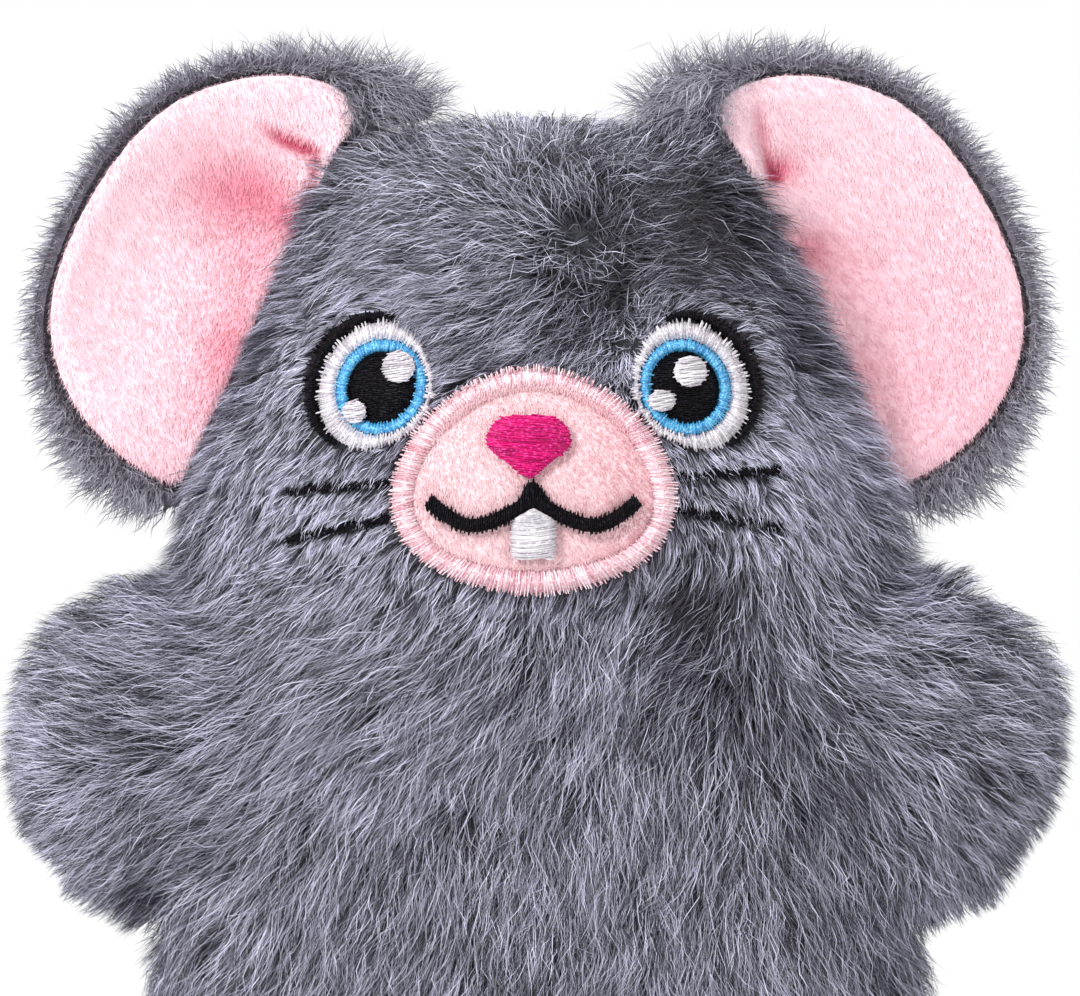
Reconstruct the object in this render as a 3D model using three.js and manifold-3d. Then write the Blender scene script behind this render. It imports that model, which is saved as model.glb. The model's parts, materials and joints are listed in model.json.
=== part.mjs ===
// A plush mouse for a cat to carry and kick, sitting on its flat base and facing -Y.
// Millimetres, +Z up. The origin is on the floor, at the middle of the toy's plan.
// Left and right are the toy's own sides: its left is +X.
//
// Each stuffed form is a fur fabric skin, modelled at the height to which its pile lies,
// round a core of fibre fill. The head and the torso are each a front and a back panel
// that meet in one side seam. Arms and legs are socks that open into the torso. The ears
// are sewn flaps of two fabrics that fold at their base. The face is satin stitch and one
// sewn-on patch, each thread area following the curve of the head.
import * as THREE from "three";
import { mergeVertices } from "three/addons/utils/BufferGeometryUtils.js";
import Module from "manifold-3d";

const wasm = await Module();
wasm.setup();

// Fabric
const pileHeight = 4; // how high the combed fur stands over its backing
const backingThickness = 1;
const skinThickness = pileHeight + backingThickness;
const sewnGap = 0.3; // between two pieces that are sewn or pressed together
const squareness = 2.3; // 2 is an ellipse, more is fuller at the corners
const overrun = 5; // how far a cutting solid runs past what it cuts

// Torso: a pear that stands on a flat base
const torsoHeight = 90;
const baseHalfWidth = 36;
const baseHalfDepth = 22;
const bellyHalfWidth = 42;
const bellyHalfDepth = 27;
const neckHalfWidth = 38.5;
const neckHalfDepth = 23.3;
// [share of the height, share of the way from the base's size to the belly's]
const flankShares = [[0, 0], [0.035, 0.62], [0.11, 0.9], [0.28, 1]];
// [share of the height, share of the way from the belly's size to the neck's]
const chestShares = [[0.55, 0.16], [0.78, 0.5], [1, 1]];

// Head: a rounded cone with full cheeks
const headHeight = 55;
const headHalfDepth = 25;
// [share of the height, share of the neck's half width, share of the head's half depth]
const headShares = [
  [0, 1, 0.932], [0.127, 0.996, 0.98], [0.273, 0.948, 1], [0.382, 0.878, 0.992],
  [0.473, 0.818, 0.968], [0.564, 0.759, 0.928], [0.655, 0.7, 0.872], [0.745, 0.641, 0.79],
  [0.83, 0.58, 0.68], [0.895, 0.515, 0.565], [0.945, 0.425, 0.44], [0.978, 0.3, 0.3],
  [0.994, 0.15, 0.15],
];
const snoutBulge = 2.5;
const snoutSpreadX = 18;
const snoutSpreadZ = 15;

// Arms: short stumps held out to the sides
const armSpan = 116.4; // over both arms, tip to tip
const armRootX = 24;
const armRootDrop = 14; // below the neck
const armTipDrop = 15.5;
const armHalfHeight = 18.5;
const armHalfDepth = 17;

// Legs: short stumps that point forwards along the floor
const legRootX = 15;
const legTipX = 27;
const legRootForward = 6; // from the middle of the torso
const legReach = 52;
const legHalfWidth = 15.5;
const legHalfHeight = 15.5;
const legAxisZ = 14.5;

// [share of a limb's length, share of its half width and height]
const limbShares = [
  [0, 1], [0.35, 1], [0.7, 0.95], [0.83, 0.88], [0.92, 0.7], [0.97, 0.46], [0.993, 0.22],
];

// Ears: a pink dish in front, a fur back behind, folding about the line they are sewn on
const earSeamLowShare = 0.273; // of the head's height, where its straight side starts
const earSeamHighShare = 0.83;
const earDrop = 2; // how far below that the ear starts
const earLength = 48; // along the sewn line
const earReach = 25; // out from the sewn line
const earSweep = 6; // degrees that the outer edge lies back at rest
const liningThickness = 2;
const earBackThickness = 3.5;
const earCup = 4.5; // how deep the dish is
const earRoll = 2; // radius of the ear's rounded edge, which it folds on
const earFoldGap = 0.45; // between that edge and the head, whose side is a little uneven
// [share of the reach, share of the length], from the lower end outwards and round. The two
// tables pair point by point.
const liningShares = [
  [0.035, 0.015], [0.2, 0.005], [0.42, 0.03], [0.63, 0.085], [0.8, 0.17], [0.9, 0.27],
  [0.94, 0.39], [0.935, 0.54], [0.88, 0.69], [0.765, 0.82], [0.57, 0.92], [0.35, 0.985],
  [0.15, 1.005], [0.06, 0.995], [0.02, 0.98], [0.002, 0.955], [0.0, 0.925], [0.008, 0.885],
  [0.016, 0.82], [0.024, 0.68], [0.026, 0.47], [0.026, 0.24], [0.026, 0.08],
];
const earBackShares = [
  [-0.04, -0.06], [0.19, -0.095], [0.465, -0.075], [0.69, -0.005], [0.872, 0.1], [0.99, 0.222],
  [1.045, 0.38], [1.05, 0.558], [0.99, 0.725], [0.86, 0.87], [0.632, 0.988], [0.38, 1.055],
  [0.06, 1.105], [-0.16, 1.115], [-0.32, 1.085], [-0.37, 1.035], [-0.3, 0.985], [-0.17, 0.94],
  [-0.09, 0.86], [-0.08, 0.66], [-0.08, 0.45], [-0.08, 0.22], [-0.08, 0.06],
];
const earCentreShares = [0.44, 0.5];

// Tail: a stuffed tube that lies curled on the floor
const tailRootRadius = 5;
const tailTipRadius = 3.2;
const tailFloorGap = 0.3;
const tailRootGap = 0.5; // to the torso's back, which leans out a little above the root
const tailReachX = 46;
const tailReachY = 14.2; // how far the curl runs out behind the root
// [share of the reach to the side, share of the reach behind]
const tailShares = [[0, 0], [0.05, 0.5], [0.22, 0.92], [0.46, 1], [0.72, 0.78], [1, 0.3]];
const tailEndShares = [0.97, 0.75, 0.4]; // where rings stand along each round end

// Face: everything is measured from the middle of the muzzle patch
const faceX = -0.4;
const muzzleRise = 15; // above the neck
const muzzleZ = torsoHeight + muzzleRise;
const patchFloor = sewnGap; // each layer's floor is a lift over the fur skin
const patchThickness = 1;
const stitchHeight = 1.2;
const stitchGap = 0.15; // between neighbouring areas of thread
const upperFloor = patchFloor + stitchHeight + stitchGap; // for thread laid over other thread
const muzzleHalfWidth = 15.5;
const muzzleAbove = 12.9;
const muzzleBelow = 11.8;
const borderWidth = 2.2;
// [share of the half width, share of the height above or below the middle]
const muzzleShares = [
  [0, 1], [0.36, 0.9], [0.66, 0.67], [0.88, 0.36], [1, -0.02],
  [0.97, -0.38], [0.8, -0.68], [0.48, -0.89], [0.16, -0.985],
];

const noseX = -0.5;
const noseZ = 4.4;
const noseHalfWidth = 4.65;
const noseAbove = 3.3;
const noseBelow = 3.7;
const noseShares = [
  [0, 1], [0.4, 1], [0.72, 0.86], [0.94, 0.5], [1, 0.08], [0.86, -0.2], [0.52, -0.5], [0.2, -0.86],
];

const mouthWidth = 1.5; // of the line of thread
const mouthHalfSpan = 11.5;
const mouthDrop = 4.4; // from the muzzle's middle to the lowest stitch
const mouthShares = [[1, -0.38], [0.88, -0.66], [0.64, -1], [0.44, -0.95], [0.21, -0.68], [0.02, -0.4]];
const mouthStemTop = 0.35;
const mouthStemTopWidth = 0.8;
const mouthStemFootWidth = 3.6;

const toothHalfWidth = 2.35;
const toothPeak = -2.2; // hidden, like the shoulders, by the lips
const toothShoulder = -3.4;
const toothBottom = -7.9;

const eyeX = 17.6;
const eyeZ = 11.05;
const eyeHalfWidth = 5.8;
const eyeHalfHeight = 7.3;
const eyeTilt = 27; // degrees, tops towards each other
const irisHalfWidth = 5.1;
const irisHalfHeight = 5.5;
const irisInset = 0.9; // towards the nose from the eye's middle
const irisDrop = 0.25;
const irisWidth = 1.2;
const whiteLeastWidth = 0.5;
const lashWidth = 1.45;
const lashGap = 0.3; // to the white ring
const lashStartAngle = 68; // degrees round the eye, from the nose side
const lashEndAngle = 238;
const lashThinShare = 0.25; // of the width, that is left at both ends
// Both eyes catch the same light, so the glints are not mirrored: [x, z, half width, half height]
const rightGlints = { large: [2.75, 2, 1.8, 1.8], small: [-2.15, -2.95, 1.3, 1.3] };
const leftGlints = { large: [-0.3, 1.5, 1.85, 1.75], small: [-3.45, -1.75, 1.5, 1.2] };

const whiskerWidth = 0.8;
// Each line of thread runs from its outer end in towards the muzzle
const whiskerOuterX = 27.4;
const whiskerInnerX = 15.9;
const rightWhiskers = { upper: [-0.6, 0.35], lower: [-5.9, -3.6] }; // [outer z, inner z]
const leftWhiskers = { upper: [1.7, 0.9], lower: [-4.6, -2.6] };

// Mesh counts
const ringSideCount = 36;
const coreSideCount = 18;
const limbSideCount = 22;
const limbRingCount = 10;
const headRingCount = 14;
const torsoRingCount = 11;
const muzzlePointCount = 32;
const eyePointCount = 22;
const nosePointCount = 20;
const toothPointCount = 20;
const glintPointCount = 12;
const earPointCount = 46;
const lipStepCount = 20;
const stemStepCount = 2;
const lashStepCount = 18;
const whiskerStepCount = 6;
const tailSideCount = 10;
const tailStepCount = 16;

const TURN = Math.PI * 2;
const rad = THREE.MathUtils.degToRad;

// Meshes from rings of points

function geometryFrom(points, faces) {
  const geometry = new THREE.BufferGeometry().setFromPoints(points);
  let sixfoldVolume = 0;
  for (const [a, b, c] of faces) {
    sixfoldVolume += points[a].dot(new THREE.Vector3().crossVectors(points[b], points[c]));
  }
  const outward = sixfoldVolume > 0 ? faces : faces.map(([a, b, c]) => [a, c, b]);
  geometry.setIndex(outward.flat());
  return geometry;
}

function bridge(faces, from, to, count) {
  for (let i = 0; i < count; i++) {
    const next = (i + 1) % count;
    faces.push([from + i, from + next, to + next], [from + i, to + next, to + i]);
  }
}

// A closed body through rings of points, with a fan over the first ring and the last.
function capped(rings, firstPole = middleOf(rings[0]), lastPole = middleOf(rings.at(-1))) {
  const count = rings[0].length;
  const points = [...rings.flat(), firstPole, lastPole];
  const faces = [];
  for (let r = 0; r + 1 < rings.length; r++) bridge(faces, r * count, (r + 1) * count, count);
  const last = (rings.length - 1) * count;
  for (let i = 0; i < count; i++) {
    const next = (i + 1) % count;
    faces.push([points.length - 2, next, i], [points.length - 1, last + i, last + next]);
  }
  return geometryFrom(points, faces);
}

// A closed body through rings of points, the last ring joined to the first.
function looped(rings) {
  const count = rings[0].length;
  const faces = [];
  rings.forEach((ring, r) => bridge(faces, r * count, ((r + 1) % rings.length) * count, count));
  return geometryFrom(rings.flat(), faces);
}

function middleOf(ring) {
  const middle = new THREE.Vector3();
  ring.forEach((p) => middle.add(p));
  return middle.divideScalar(ring.length);
}

// Joins and cuts

function solidFrom(geometry) {
  const bare = new THREE.BufferGeometry().setAttribute("position", geometry.getAttribute("position"));
  const merged = mergeVertices(bare.setIndex(geometry.index));
  return new wasm.Manifold(new wasm.Mesh({
    numProp: 3,
    vertProperties: merged.attributes.position.array,
    triVerts: new Uint32Array(merged.index.array),
  }));
}

function geometryOf(solid) {
  const mesh = solid.getMesh();
  return new THREE.BufferGeometry()
    .setAttribute("position", new THREE.BufferAttribute(new Float32Array(mesh.vertProperties), 3))
    .setIndex(new THREE.BufferAttribute(new Uint32Array(mesh.triVerts), 1));
}

function block(low, high) {
  const size = new THREE.Vector3().subVectors(high, low);
  const middle = new THREE.Vector3().addVectors(high, low).divideScalar(2);
  return solidFrom(new THREE.BoxGeometry(...size.toArray()).translate(...middle.toArray()));
}

const farX = armSpan;
const farY = armSpan;
const farZ = torsoHeight + headHeight + earLength;

// The half of a solid in front of the side seam, or the half behind it.
function panelOf(solid, side) {
  const keepOut = side === "front"
    ? block(new THREE.Vector3(-farX, -sewnGap / 2, -farZ), new THREE.Vector3(farX, farY, farZ))
    : block(new THREE.Vector3(-farX, -farY, -farZ), new THREE.Vector3(farX, sewnGap / 2, farZ));
  return solid.subtract(keepOut);
}

function cutFlat(solid, floorZ) {
  return solid.subtract(
    block(new THREE.Vector3(-farX, -farY, -farZ), new THREE.Vector3(farX, farY, floorZ)),
  );
}

// Torso and head: rings stacked up Z

// Stations are [height, half width, half depth]. A spline runs through them.
function stationsThrough(stations, count) {
  const curve = new THREE.CatmullRomCurve3(
    stations.map((s) => new THREE.Vector3(...s)), false, "catmullrom", 0.5,
  );
  return curve.getPoints(count).map((p) => ({ z: p.x, halfWidth: p.y, halfDepth: p.z }));
}

const blend = (a, b, share) => a + (b - a) * share;

const torsoStations = stationsThrough([
  ...flankShares.map(([up, share]) => [
    up * torsoHeight,
    blend(baseHalfWidth, bellyHalfWidth, share),
    blend(baseHalfDepth, bellyHalfDepth, share),
  ]),
  ...chestShares.map(([up, share]) => [
    up * torsoHeight,
    blend(bellyHalfWidth, neckHalfWidth, share),
    blend(bellyHalfDepth, neckHalfDepth, share),
  ]),
], torsoRingCount);

const headStations = stationsThrough(headShares.map(([up, wide, deep]) => [
  torsoHeight + up * headHeight, wide * neckHalfWidth, deep * headHalfDepth,
]), headRingCount);

function snoutLift(x, z) {
  const across = (x - faceX) / snoutSpreadX;
  const up = (z - muzzleZ) / snoutSpreadZ;
  return snoutBulge * Math.exp(-across * across - up * up);
}

const power = (value, exponent) => Math.sign(value) * Math.abs(value) ** exponent;

function ringAt({ z, halfWidth, halfDepth }, sides, liftAt) {
  return Array.from({ length: sides }, (_, i) => {
    const angle = (TURN * i) / sides;
    const x = halfWidth * power(Math.cos(angle), 2 / squareness);
    const y = halfDepth * power(Math.sin(angle), 2 / squareness);
    const facing = Math.max(0, -y / halfDepth);
    return new THREE.Vector3(x, y - liftAt(x, z) * facing, z);
  });
}

const noLift = () => 0;

// The form that the stations describe, drawn in by an inset on every side, between two heights.
function stackedForm(stations, inset, from, to, sides, liftAt, pole) {
  const drawnInAt = (z) => {
    const size = sizeThrough(stations, z);
    return { z, halfWidth: size.halfWidth - inset, halfDepth: size.halfDepth - inset };
  };
  const heights = [from, ...stations.map((s) => s.z).filter((z) => z > from && z < to), to];
  const kept = heights.map(drawnInAt).filter((s) => s.halfDepth > 0);
  return solidFrom(capped(kept.map((s) => ringAt(s, sides, liftAt)), undefined, pole));
}

function sizeThrough(stations, z) {
  if (z <= stations[0].z) return { ...stations[0], z };
  const above = stations.findIndex((s) => s.z >= z);
  if (above < 0) return { ...stations.at(-1), z };
  const [low, high] = [stations[above - 1], stations[above]];
  const share = (z - low.z) / (high.z - low.z);
  return {
    z,
    halfWidth: blend(low.halfWidth, high.halfWidth, share),
    halfDepth: blend(low.halfDepth, high.halfDepth, share),
  };
}

const neckBottom = torsoHeight - sewnGap / 2;
const neckTop = torsoHeight + sewnGap / 2;

const torsoForm = (inset, from, to, sides = ringSideCount) =>
  stackedForm(torsoStations, inset, from, to, sides, noLift);

function headForm(inset, from, sides = ringSideCount) {
  const shrink = (headHeight - inset) / headHeight;
  const stations = headStations.map((s) => ({ ...s, z: torsoHeight + (s.z - torsoHeight) * shrink }));
  const crown = new THREE.Vector3(0, 0, torsoHeight + headHeight - inset);
  return stackedForm(stations, inset, from, stations.at(-1).z, sides, snoutLift, crown);
}

// Limbs: rings along a straight axis, narrowing to a round tip

function limbForm(root, tip, halfAcross, halfUp, inset, sides = limbSideCount) {
  const axis = new THREE.Vector3().subVectors(tip, root);
  const reach = axis.length();
  axis.normalize();
  const across = new THREE.Vector3(0, 0, 1).cross(axis).normalize();
  const up = new THREE.Vector3().crossVectors(axis, across);
  const curve = new THREE.CatmullRomCurve3(
    limbShares.map(([along, size]) => new THREE.Vector3(along, size, 0)), false, "catmullrom", 0.5,
  );
  const rings = [];
  for (const { x: along, y: size } of curve.getPoints(limbRingCount)) {
    const wide = halfAcross * size - inset;
    const tall = halfUp * size - inset;
    if (Math.min(wide, tall) <= 0) continue;
    rings.push(Array.from({ length: sides }, (_, i) => {
      const angle = (TURN * i) / sides;
      return root.clone()
        .addScaledVector(axis, along * (reach - inset))
        .addScaledVector(across, wide * Math.cos(angle))
        .addScaledVector(up, tall * Math.sin(angle));
    }));
  }
  const end = root.clone().addScaledVector(axis, reach - inset);
  return solidFrom(capped(rings, undefined, end));
}

const armForm = (side, inset, sides) => limbForm(
  new THREE.Vector3(side * armRootX, 0, torsoHeight - armRootDrop),
  new THREE.Vector3((side * armSpan) / 2, 0, torsoHeight - armTipDrop),
  armHalfDepth, armHalfHeight, inset, sides,
);

const legForm = (side, inset, sides) => limbForm(
  new THREE.Vector3(side * legRootX, -legRootForward, legAxisZ),
  new THREE.Vector3(side * legTipX, -legReach, legAxisZ),
  legHalfWidth, legHalfHeight, inset, sides,
);

// Materials

const furFabric = new THREE.MeshStandardMaterial({ color: 0x74767f, roughness: 0.95, metalness: 0 });
const velour = new THREE.MeshStandardMaterial({ color: 0xf4bfcb, roughness: 0.9, metalness: 0 });
const fibreFill = new THREE.MeshStandardMaterial({ color: 0xf2f1ee, roughness: 1, metalness: 0 });
const thread = (color) => new THREE.MeshStandardMaterial({ color, roughness: 0.45, metalness: 0 });
const blackThread = thread(0x121214);
const whiteThread = thread(0xece9ea);
const blueThread = thread(0x2f9fd8);
const magentaThread = thread(0xe0189a);
const roseThread = thread(0xf5b3b0);

const mouse = new THREE.Group();

function add(name, shape, material, parent = mouse) {
  const mesh = new THREE.Mesh(shape instanceof THREE.BufferGeometry ? shape : geometryOf(shape), material);
  mesh.name = name;
  mesh.geometry.computeVertexNormals();
  parent.add(mesh);
  return mesh;
}

// Body, head and limbs

const torsoOuter = torsoForm(0, 0, neckBottom);
const headOuter = headForm(0, neckTop);
const torsoHollow = torsoForm(skinThickness, skinThickness, torsoHeight + overrun, coreSideCount);
const headHollow = headForm(skinThickness, torsoHeight - overrun, coreSideCount);
const headCutter = headForm(-sewnGap, torsoHeight);
const bodyCutter = torsoForm(-sewnGap, -overrun, torsoHeight).add(headCutter);
const coreCutter = torsoForm(skinThickness, skinThickness, torsoHeight, coreSideCount);

const sides = [["right", -1], ["left", 1]];
const coreInset = skinThickness + sewnGap;

let torsoSkin = torsoOuter.subtract(torsoHollow);
for (const [, side] of sides) {
  torsoSkin = torsoSkin
    .subtract(armForm(side, skinThickness, coreSideCount))
    .subtract(cutFlat(legForm(side, skinThickness, coreSideCount), skinThickness));
}
add("torso_front_panel", panelOf(torsoSkin, "front"), furFabric);
add("torso_back_panel", panelOf(torsoSkin, "back"), furFabric);
add("torso_fill", torsoForm(coreInset, coreInset, neckBottom, coreSideCount), fibreFill);

const headSkin = headOuter.subtract(headHollow);
add("head_front_panel", panelOf(headSkin, "front"), furFabric);
add("head_back_panel", panelOf(headSkin, "back"), furFabric);
add("head_fill", headForm(coreInset, neckTop, coreSideCount), fibreFill);

for (const [name, side] of sides) {
  const armSock = armForm(side, 0).subtract(armForm(side, skinThickness, coreSideCount)).subtract(bodyCutter);
  add(`${name}_arm`, armSock, furFabric);
  const armCore = armForm(side, coreInset, coreSideCount).subtract(coreCutter).subtract(headCutter);
  add(`${name}_arm_fill`, armCore, fibreFill);

  const legHollow = cutFlat(legForm(side, skinThickness, coreSideCount), skinThickness);
  const legSock = cutFlat(legForm(side, 0), 0).subtract(legHollow).subtract(bodyCutter);
  const midline = side * sewnGap / 2;
  const otherSide = side < 0
    ? block(new THREE.Vector3(midline, -farY, -farZ), new THREE.Vector3(farX, farY, farZ))
    : block(new THREE.Vector3(-farX, -farY, -farZ), new THREE.Vector3(midline, farY, farZ));
  add(`${name}_leg`, legSock.subtract(otherSide), furFabric);
  const legCore = cutFlat(legForm(side, coreInset, coreSideCount), coreInset);
  add(`${name}_leg_fill`, legCore.subtract(coreCutter).subtract(otherSide), fibreFill);
}

// Ears

function earLoop(shares) {
  const curve = new THREE.CatmullRomCurve3(
    shares.map(([out, up]) => new THREE.Vector3(out * earReach, 0, up * earLength)),
    true, "catmullrom", 0.5,
  );
  return curve.getPoints(earPointCount).slice(0, earPointCount);
}

const liningEdge = earLoop(liningShares);
const earBackEdge = earLoop(earBackShares);
const earCentre = new THREE.Vector3(earCentreShares[0] * earReach, 0, earCentreShares[1] * earLength);

// The lining's edge drawn in to a share of its size, at a depth behind the ear's plane.
function earRing(share, depth, grow = 0) {
  return liningEdge.map((p) => {
    const spoke = new THREE.Vector3().subVectors(p, earCentre);
    spoke.setLength(spoke.length() * share + grow);
    return spoke.add(earCentre).setY(depth);
  });
}

// The ear back's outer edge is a half round. This is its ring at an angle from the ear's plane.
function rimRing(angle) {
  return earBackEdge.map((p, i) => {
    const before = earBackEdge.at(i - 1);
    const after = earBackEdge[(i + 1) % earBackEdge.length];
    const inward = new THREE.Vector3(before.z - after.z, 0, after.x - before.x).normalize();
    const at = p.clone().addScaledVector(inward, earRoll * (1 - Math.cos(angle)));
    return at.setY(earRoll * Math.sin(angle));
  });
}

const dishDepth = (share) => earCup * (1 - share * share);
const dishShares = [0.9, 0.65, 0.35];
const rimTurnShares = [-1, -0.5, 0, 0.5, 1];
const atCentre = (depth) => earCentre.clone().setY(depth);

function liningForm() {
  const front = (share) => dishDepth(share) - liningThickness;
  return capped(
    [
      ...dishShares.toReversed().map((share) => earRing(share, dishDepth(share))),
      earRing(1, 0),
      earRing(1, -liningThickness / 2),
      ...dishShares.map((share) => earRing(share, front(share))),
    ],
    atCentre(dishDepth(0)),
    atCentre(front(0)),
  );
}

function earBackForm() {
  const seat = (share) => dishDepth(share) + sewnGap;
  const rear = (share) => seat(share) + earBackThickness;
  return capped(
    [
      ...dishShares.toReversed().map((share) => earRing(share, seat(share))),
      earRing(1, sewnGap, sewnGap),
      earRing(1, -earRoll, sewnGap),
      ...rimTurnShares.map((share) => rimRing((share * Math.PI) / 2)),
      ...dishShares.map((share) => earRing(share, rear(share))),
    ],
    atCentre(seat(0)),
    atCentre(rear(0)),
  );
}

// The ear folds about a line that runs up the straight side of the head, just clear of it.
const headSide = (share) => {
  const { z, halfWidth } = sizeThrough(headStations, torsoHeight + share * headHeight);
  return new THREE.Vector3(halfWidth, 0, z);
};
const seamLow = headSide(earSeamLowShare);
const seam = new THREE.Vector3().subVectors(headSide(earSeamHighShare), seamLow).normalize();
const earLean = Math.atan2(-seam.x, seam.z);
const hingeLow = seamLow.clone()
  .addScaledVector(seam, -earDrop)
  .addScaledVector(new THREE.Vector3(seam.z, 0, -seam.x), earRoll + earFoldGap);

for (const [name, side] of sides) {
  const ear = new THREE.Group();
  ear.position.set(side * hingeLow.x, 0, hingeLow.z);
  ear.scale.x = side;
  ear.rotation.order = "YZX";
  ear.rotation.set(0, -earLean * side, side * rad(earSweep));
  mouse.add(ear);
  add(`${name}_ear_lining`, liningForm(), velour, ear);
  add(`${name}_ear_back`, earBackForm(), furFabric, ear);
}

// Tail: it swings about the middle of its round root, which sits against the torso's back

function tailForm() {
  const curve = new THREE.CatmullRomCurve3(
    tailShares.map(([out, back]) => new THREE.Vector3(out * tailReachX, back * tailReachY, 0)),
  );
  const ringAlong = (share, radius, on = 0) => {
    const along = curve.getTangentAt(share);
    const across = new THREE.Vector3(-along.y, along.x, 0);
    const middle = curve.getPointAt(share).addScaledVector(along, radius * on);
    middle.setZ(radius - tailRootRadius);
    const size = radius * Math.sqrt(1 - on * on);
    return Array.from({ length: tailSideCount }, (_, i) => {
      const angle = (TURN * i) / tailSideCount;
      const rise = new THREE.Vector3(0, 0, size * Math.sin(angle));
      return middle.clone().addScaledVector(across, size * Math.cos(angle)).add(rise);
    });
  };
  const rings = tailEndShares.map((on) => ringAlong(0, tailRootRadius, -on));
  for (let i = 0; i <= tailStepCount; i++) {
    rings.push(ringAlong(i / tailStepCount, blend(tailRootRadius, tailTipRadius, i / tailStepCount)));
  }
  rings.push(...tailEndShares.toReversed().map((on) => ringAlong(1, tailTipRadius, on)));
  return capped(rings);
}

const tail = new THREE.Group();
const backAtTail = sizeThrough(torsoStations, tailRootRadius).halfDepth;
tail.position.set(0, backAtTail + tailRootGap + tailRootRadius, tailRootRadius + tailFloorGap);
mouse.add(tail);
add("tail", tailForm(), velour, tail);

// Face

// A point over the head's front panel, by how far it is lifted towards the viewer.
function onFace(x, z, lift) {
  const { halfWidth, halfDepth } = sizeThrough(headStations, z);
  const share = Math.min(1, Math.abs(x) / halfWidth) ** squareness;
  const facing = (1 - share) ** (1 / squareness);
  return new THREE.Vector3(x, -(halfDepth + snoutLift(x, z)) * facing - lift, z);
}

const faceVector = (x, z) => new THREE.Vector2(faceX + x, muzzleZ + z);

function loopThrough(points, count) {
  const curve = new THREE.CatmullRomCurve3(
    points.map((p) => new THREE.Vector3(p.x, 0, p.y)), true, "catmullrom", 0.5,
  );
  return curve.getPoints(count).slice(0, count).map((p) => new THREE.Vector2(p.x, p.z));
}

// An even outline from one half of it, mirrored in the line x = middle.x.
function mirroredLoop(shares, count, middle, halfWidth, above, below) {
  const half = shares.map(([across, up]) => [across * halfWidth, up * (up > 0 ? above : below)]);
  const inner = half.filter(([x]) => x > 0);
  const base = half.every(([, z]) => z > -below) ? [[0, -below]] : [];
  const all = [...half, ...base, ...inner.toReversed().map(([x, z]) => [-x, z])];
  return loopThrough(all.map(([x, z]) => new THREE.Vector2(middle.x + x, middle.y + z)), count);
}

function ellipseLoop(count, middle, halfWidth, halfHeight, tilt = 0) {
  return Array.from({ length: count }, (_, i) => {
    const angle = (TURN * i) / count;
    return new THREE.Vector2(halfWidth * Math.cos(angle), halfHeight * Math.sin(angle))
      .rotateAround(new THREE.Vector2(), tilt)
      .add(middle);
  });
}

const centreOf = (loop) =>
  loop.reduce((sum, p) => sum.add(p), new THREE.Vector2()).divideScalar(loop.length);

function drawnIn(loop, width) {
  const centre = centreOf(loop);
  return loop.map((p) => {
    const spoke = new THREE.Vector2().subVectors(p, centre);
    return spoke.setLength(spoke.length() - width).add(centre);
  });
}

const widePadShares = [0.9, 0.6, 0.3];
const smallPadShares = [0.7];
const padEdgeShare = 0.45; // of a pad's height, where its edge stands

// A low pad of cloth or thread inside an outline.
function pad(loop, floor, height, padShares = smallPadShares) {
  const centre = centreOf(loop);
  const ring = (share, lift) => loop.map((p) => {
    const at = centre.clone().lerp(p, share);
    return onFace(at.x, at.y, lift);
  });
  const crown = (share) => floor + height * (padEdgeShare + (1 - padEdgeShare) * Math.sqrt(1 - share ** 3));
  return capped(
    [
      ...padShares.toReversed().map((share) => ring(share, floor)),
      ring(1, floor),
      ring(1, floor + height * padEdgeShare),
      ...padShares.map((share) => ring(share, crown(share))),
    ],
    onFace(centre.x, centre.y, floor),
    onFace(centre.x, centre.y, floor + height),
  );
}

// The five points across a satin band, from its one edge to its other.
function bandSection(inner, outer, floor, height) {
  const middle = inner.clone().lerp(outer, 0.5);
  return [
    onFace(inner.x, inner.y, floor),
    onFace(outer.x, outer.y, floor),
    onFace(outer.x, outer.y, floor + height * padEdgeShare),
    onFace(middle.x, middle.y, floor + height),
    onFace(inner.x, inner.y, floor + height * padEdgeShare),
  ];
}

const satinRing = (outer, inner, floor, height) =>
  looped(outer.map((p, i) => bandSection(inner[i], p, floor, height)));

// A line of satin stitch along a path. widthAt gives its width at each share of the way.
function satinLine(path, widthAt, floor, height, steps) {
  const curve = new THREE.CatmullRomCurve3(path.map((p) => new THREE.Vector3(p.x, 0, p.y)));
  const sections = [];
  for (let i = 0; i <= steps; i++) {
    const at = curve.getPointAt(i / steps);
    const along = curve.getTangentAt(i / steps);
    const half = new THREE.Vector2(-along.z, along.x).multiplyScalar(widthAt(i / steps) / 2);
    const middle = new THREE.Vector2(at.x, at.z);
    sections.push(bandSection(middle.clone().sub(half), middle.clone().add(half), floor, height));
  }
  return capped(sections);
}

const muzzleLoop = mirroredLoop(
  muzzleShares, muzzlePointCount, faceVector(0, 0), muzzleHalfWidth, muzzleAbove, muzzleBelow,
);
const borderInner = drawnIn(muzzleLoop, borderWidth);
add("muzzle_border", satinRing(muzzleLoop, borderInner, patchFloor, patchThickness + stitchHeight / 2),
  roseThread);
add("muzzle_patch", pad(drawnIn(borderInner, stitchGap), patchFloor, patchThickness, widePadShares),
  velour);

const featureFloor = patchFloor + patchThickness + stitchGap;
const noseLoop = mirroredLoop(
  noseShares, nosePointCount, faceVector(noseX, noseZ), noseHalfWidth, noseAbove, noseBelow,
);
add("nose", pad(noseLoop, featureFloor, stitchHeight), magentaThread);

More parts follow.
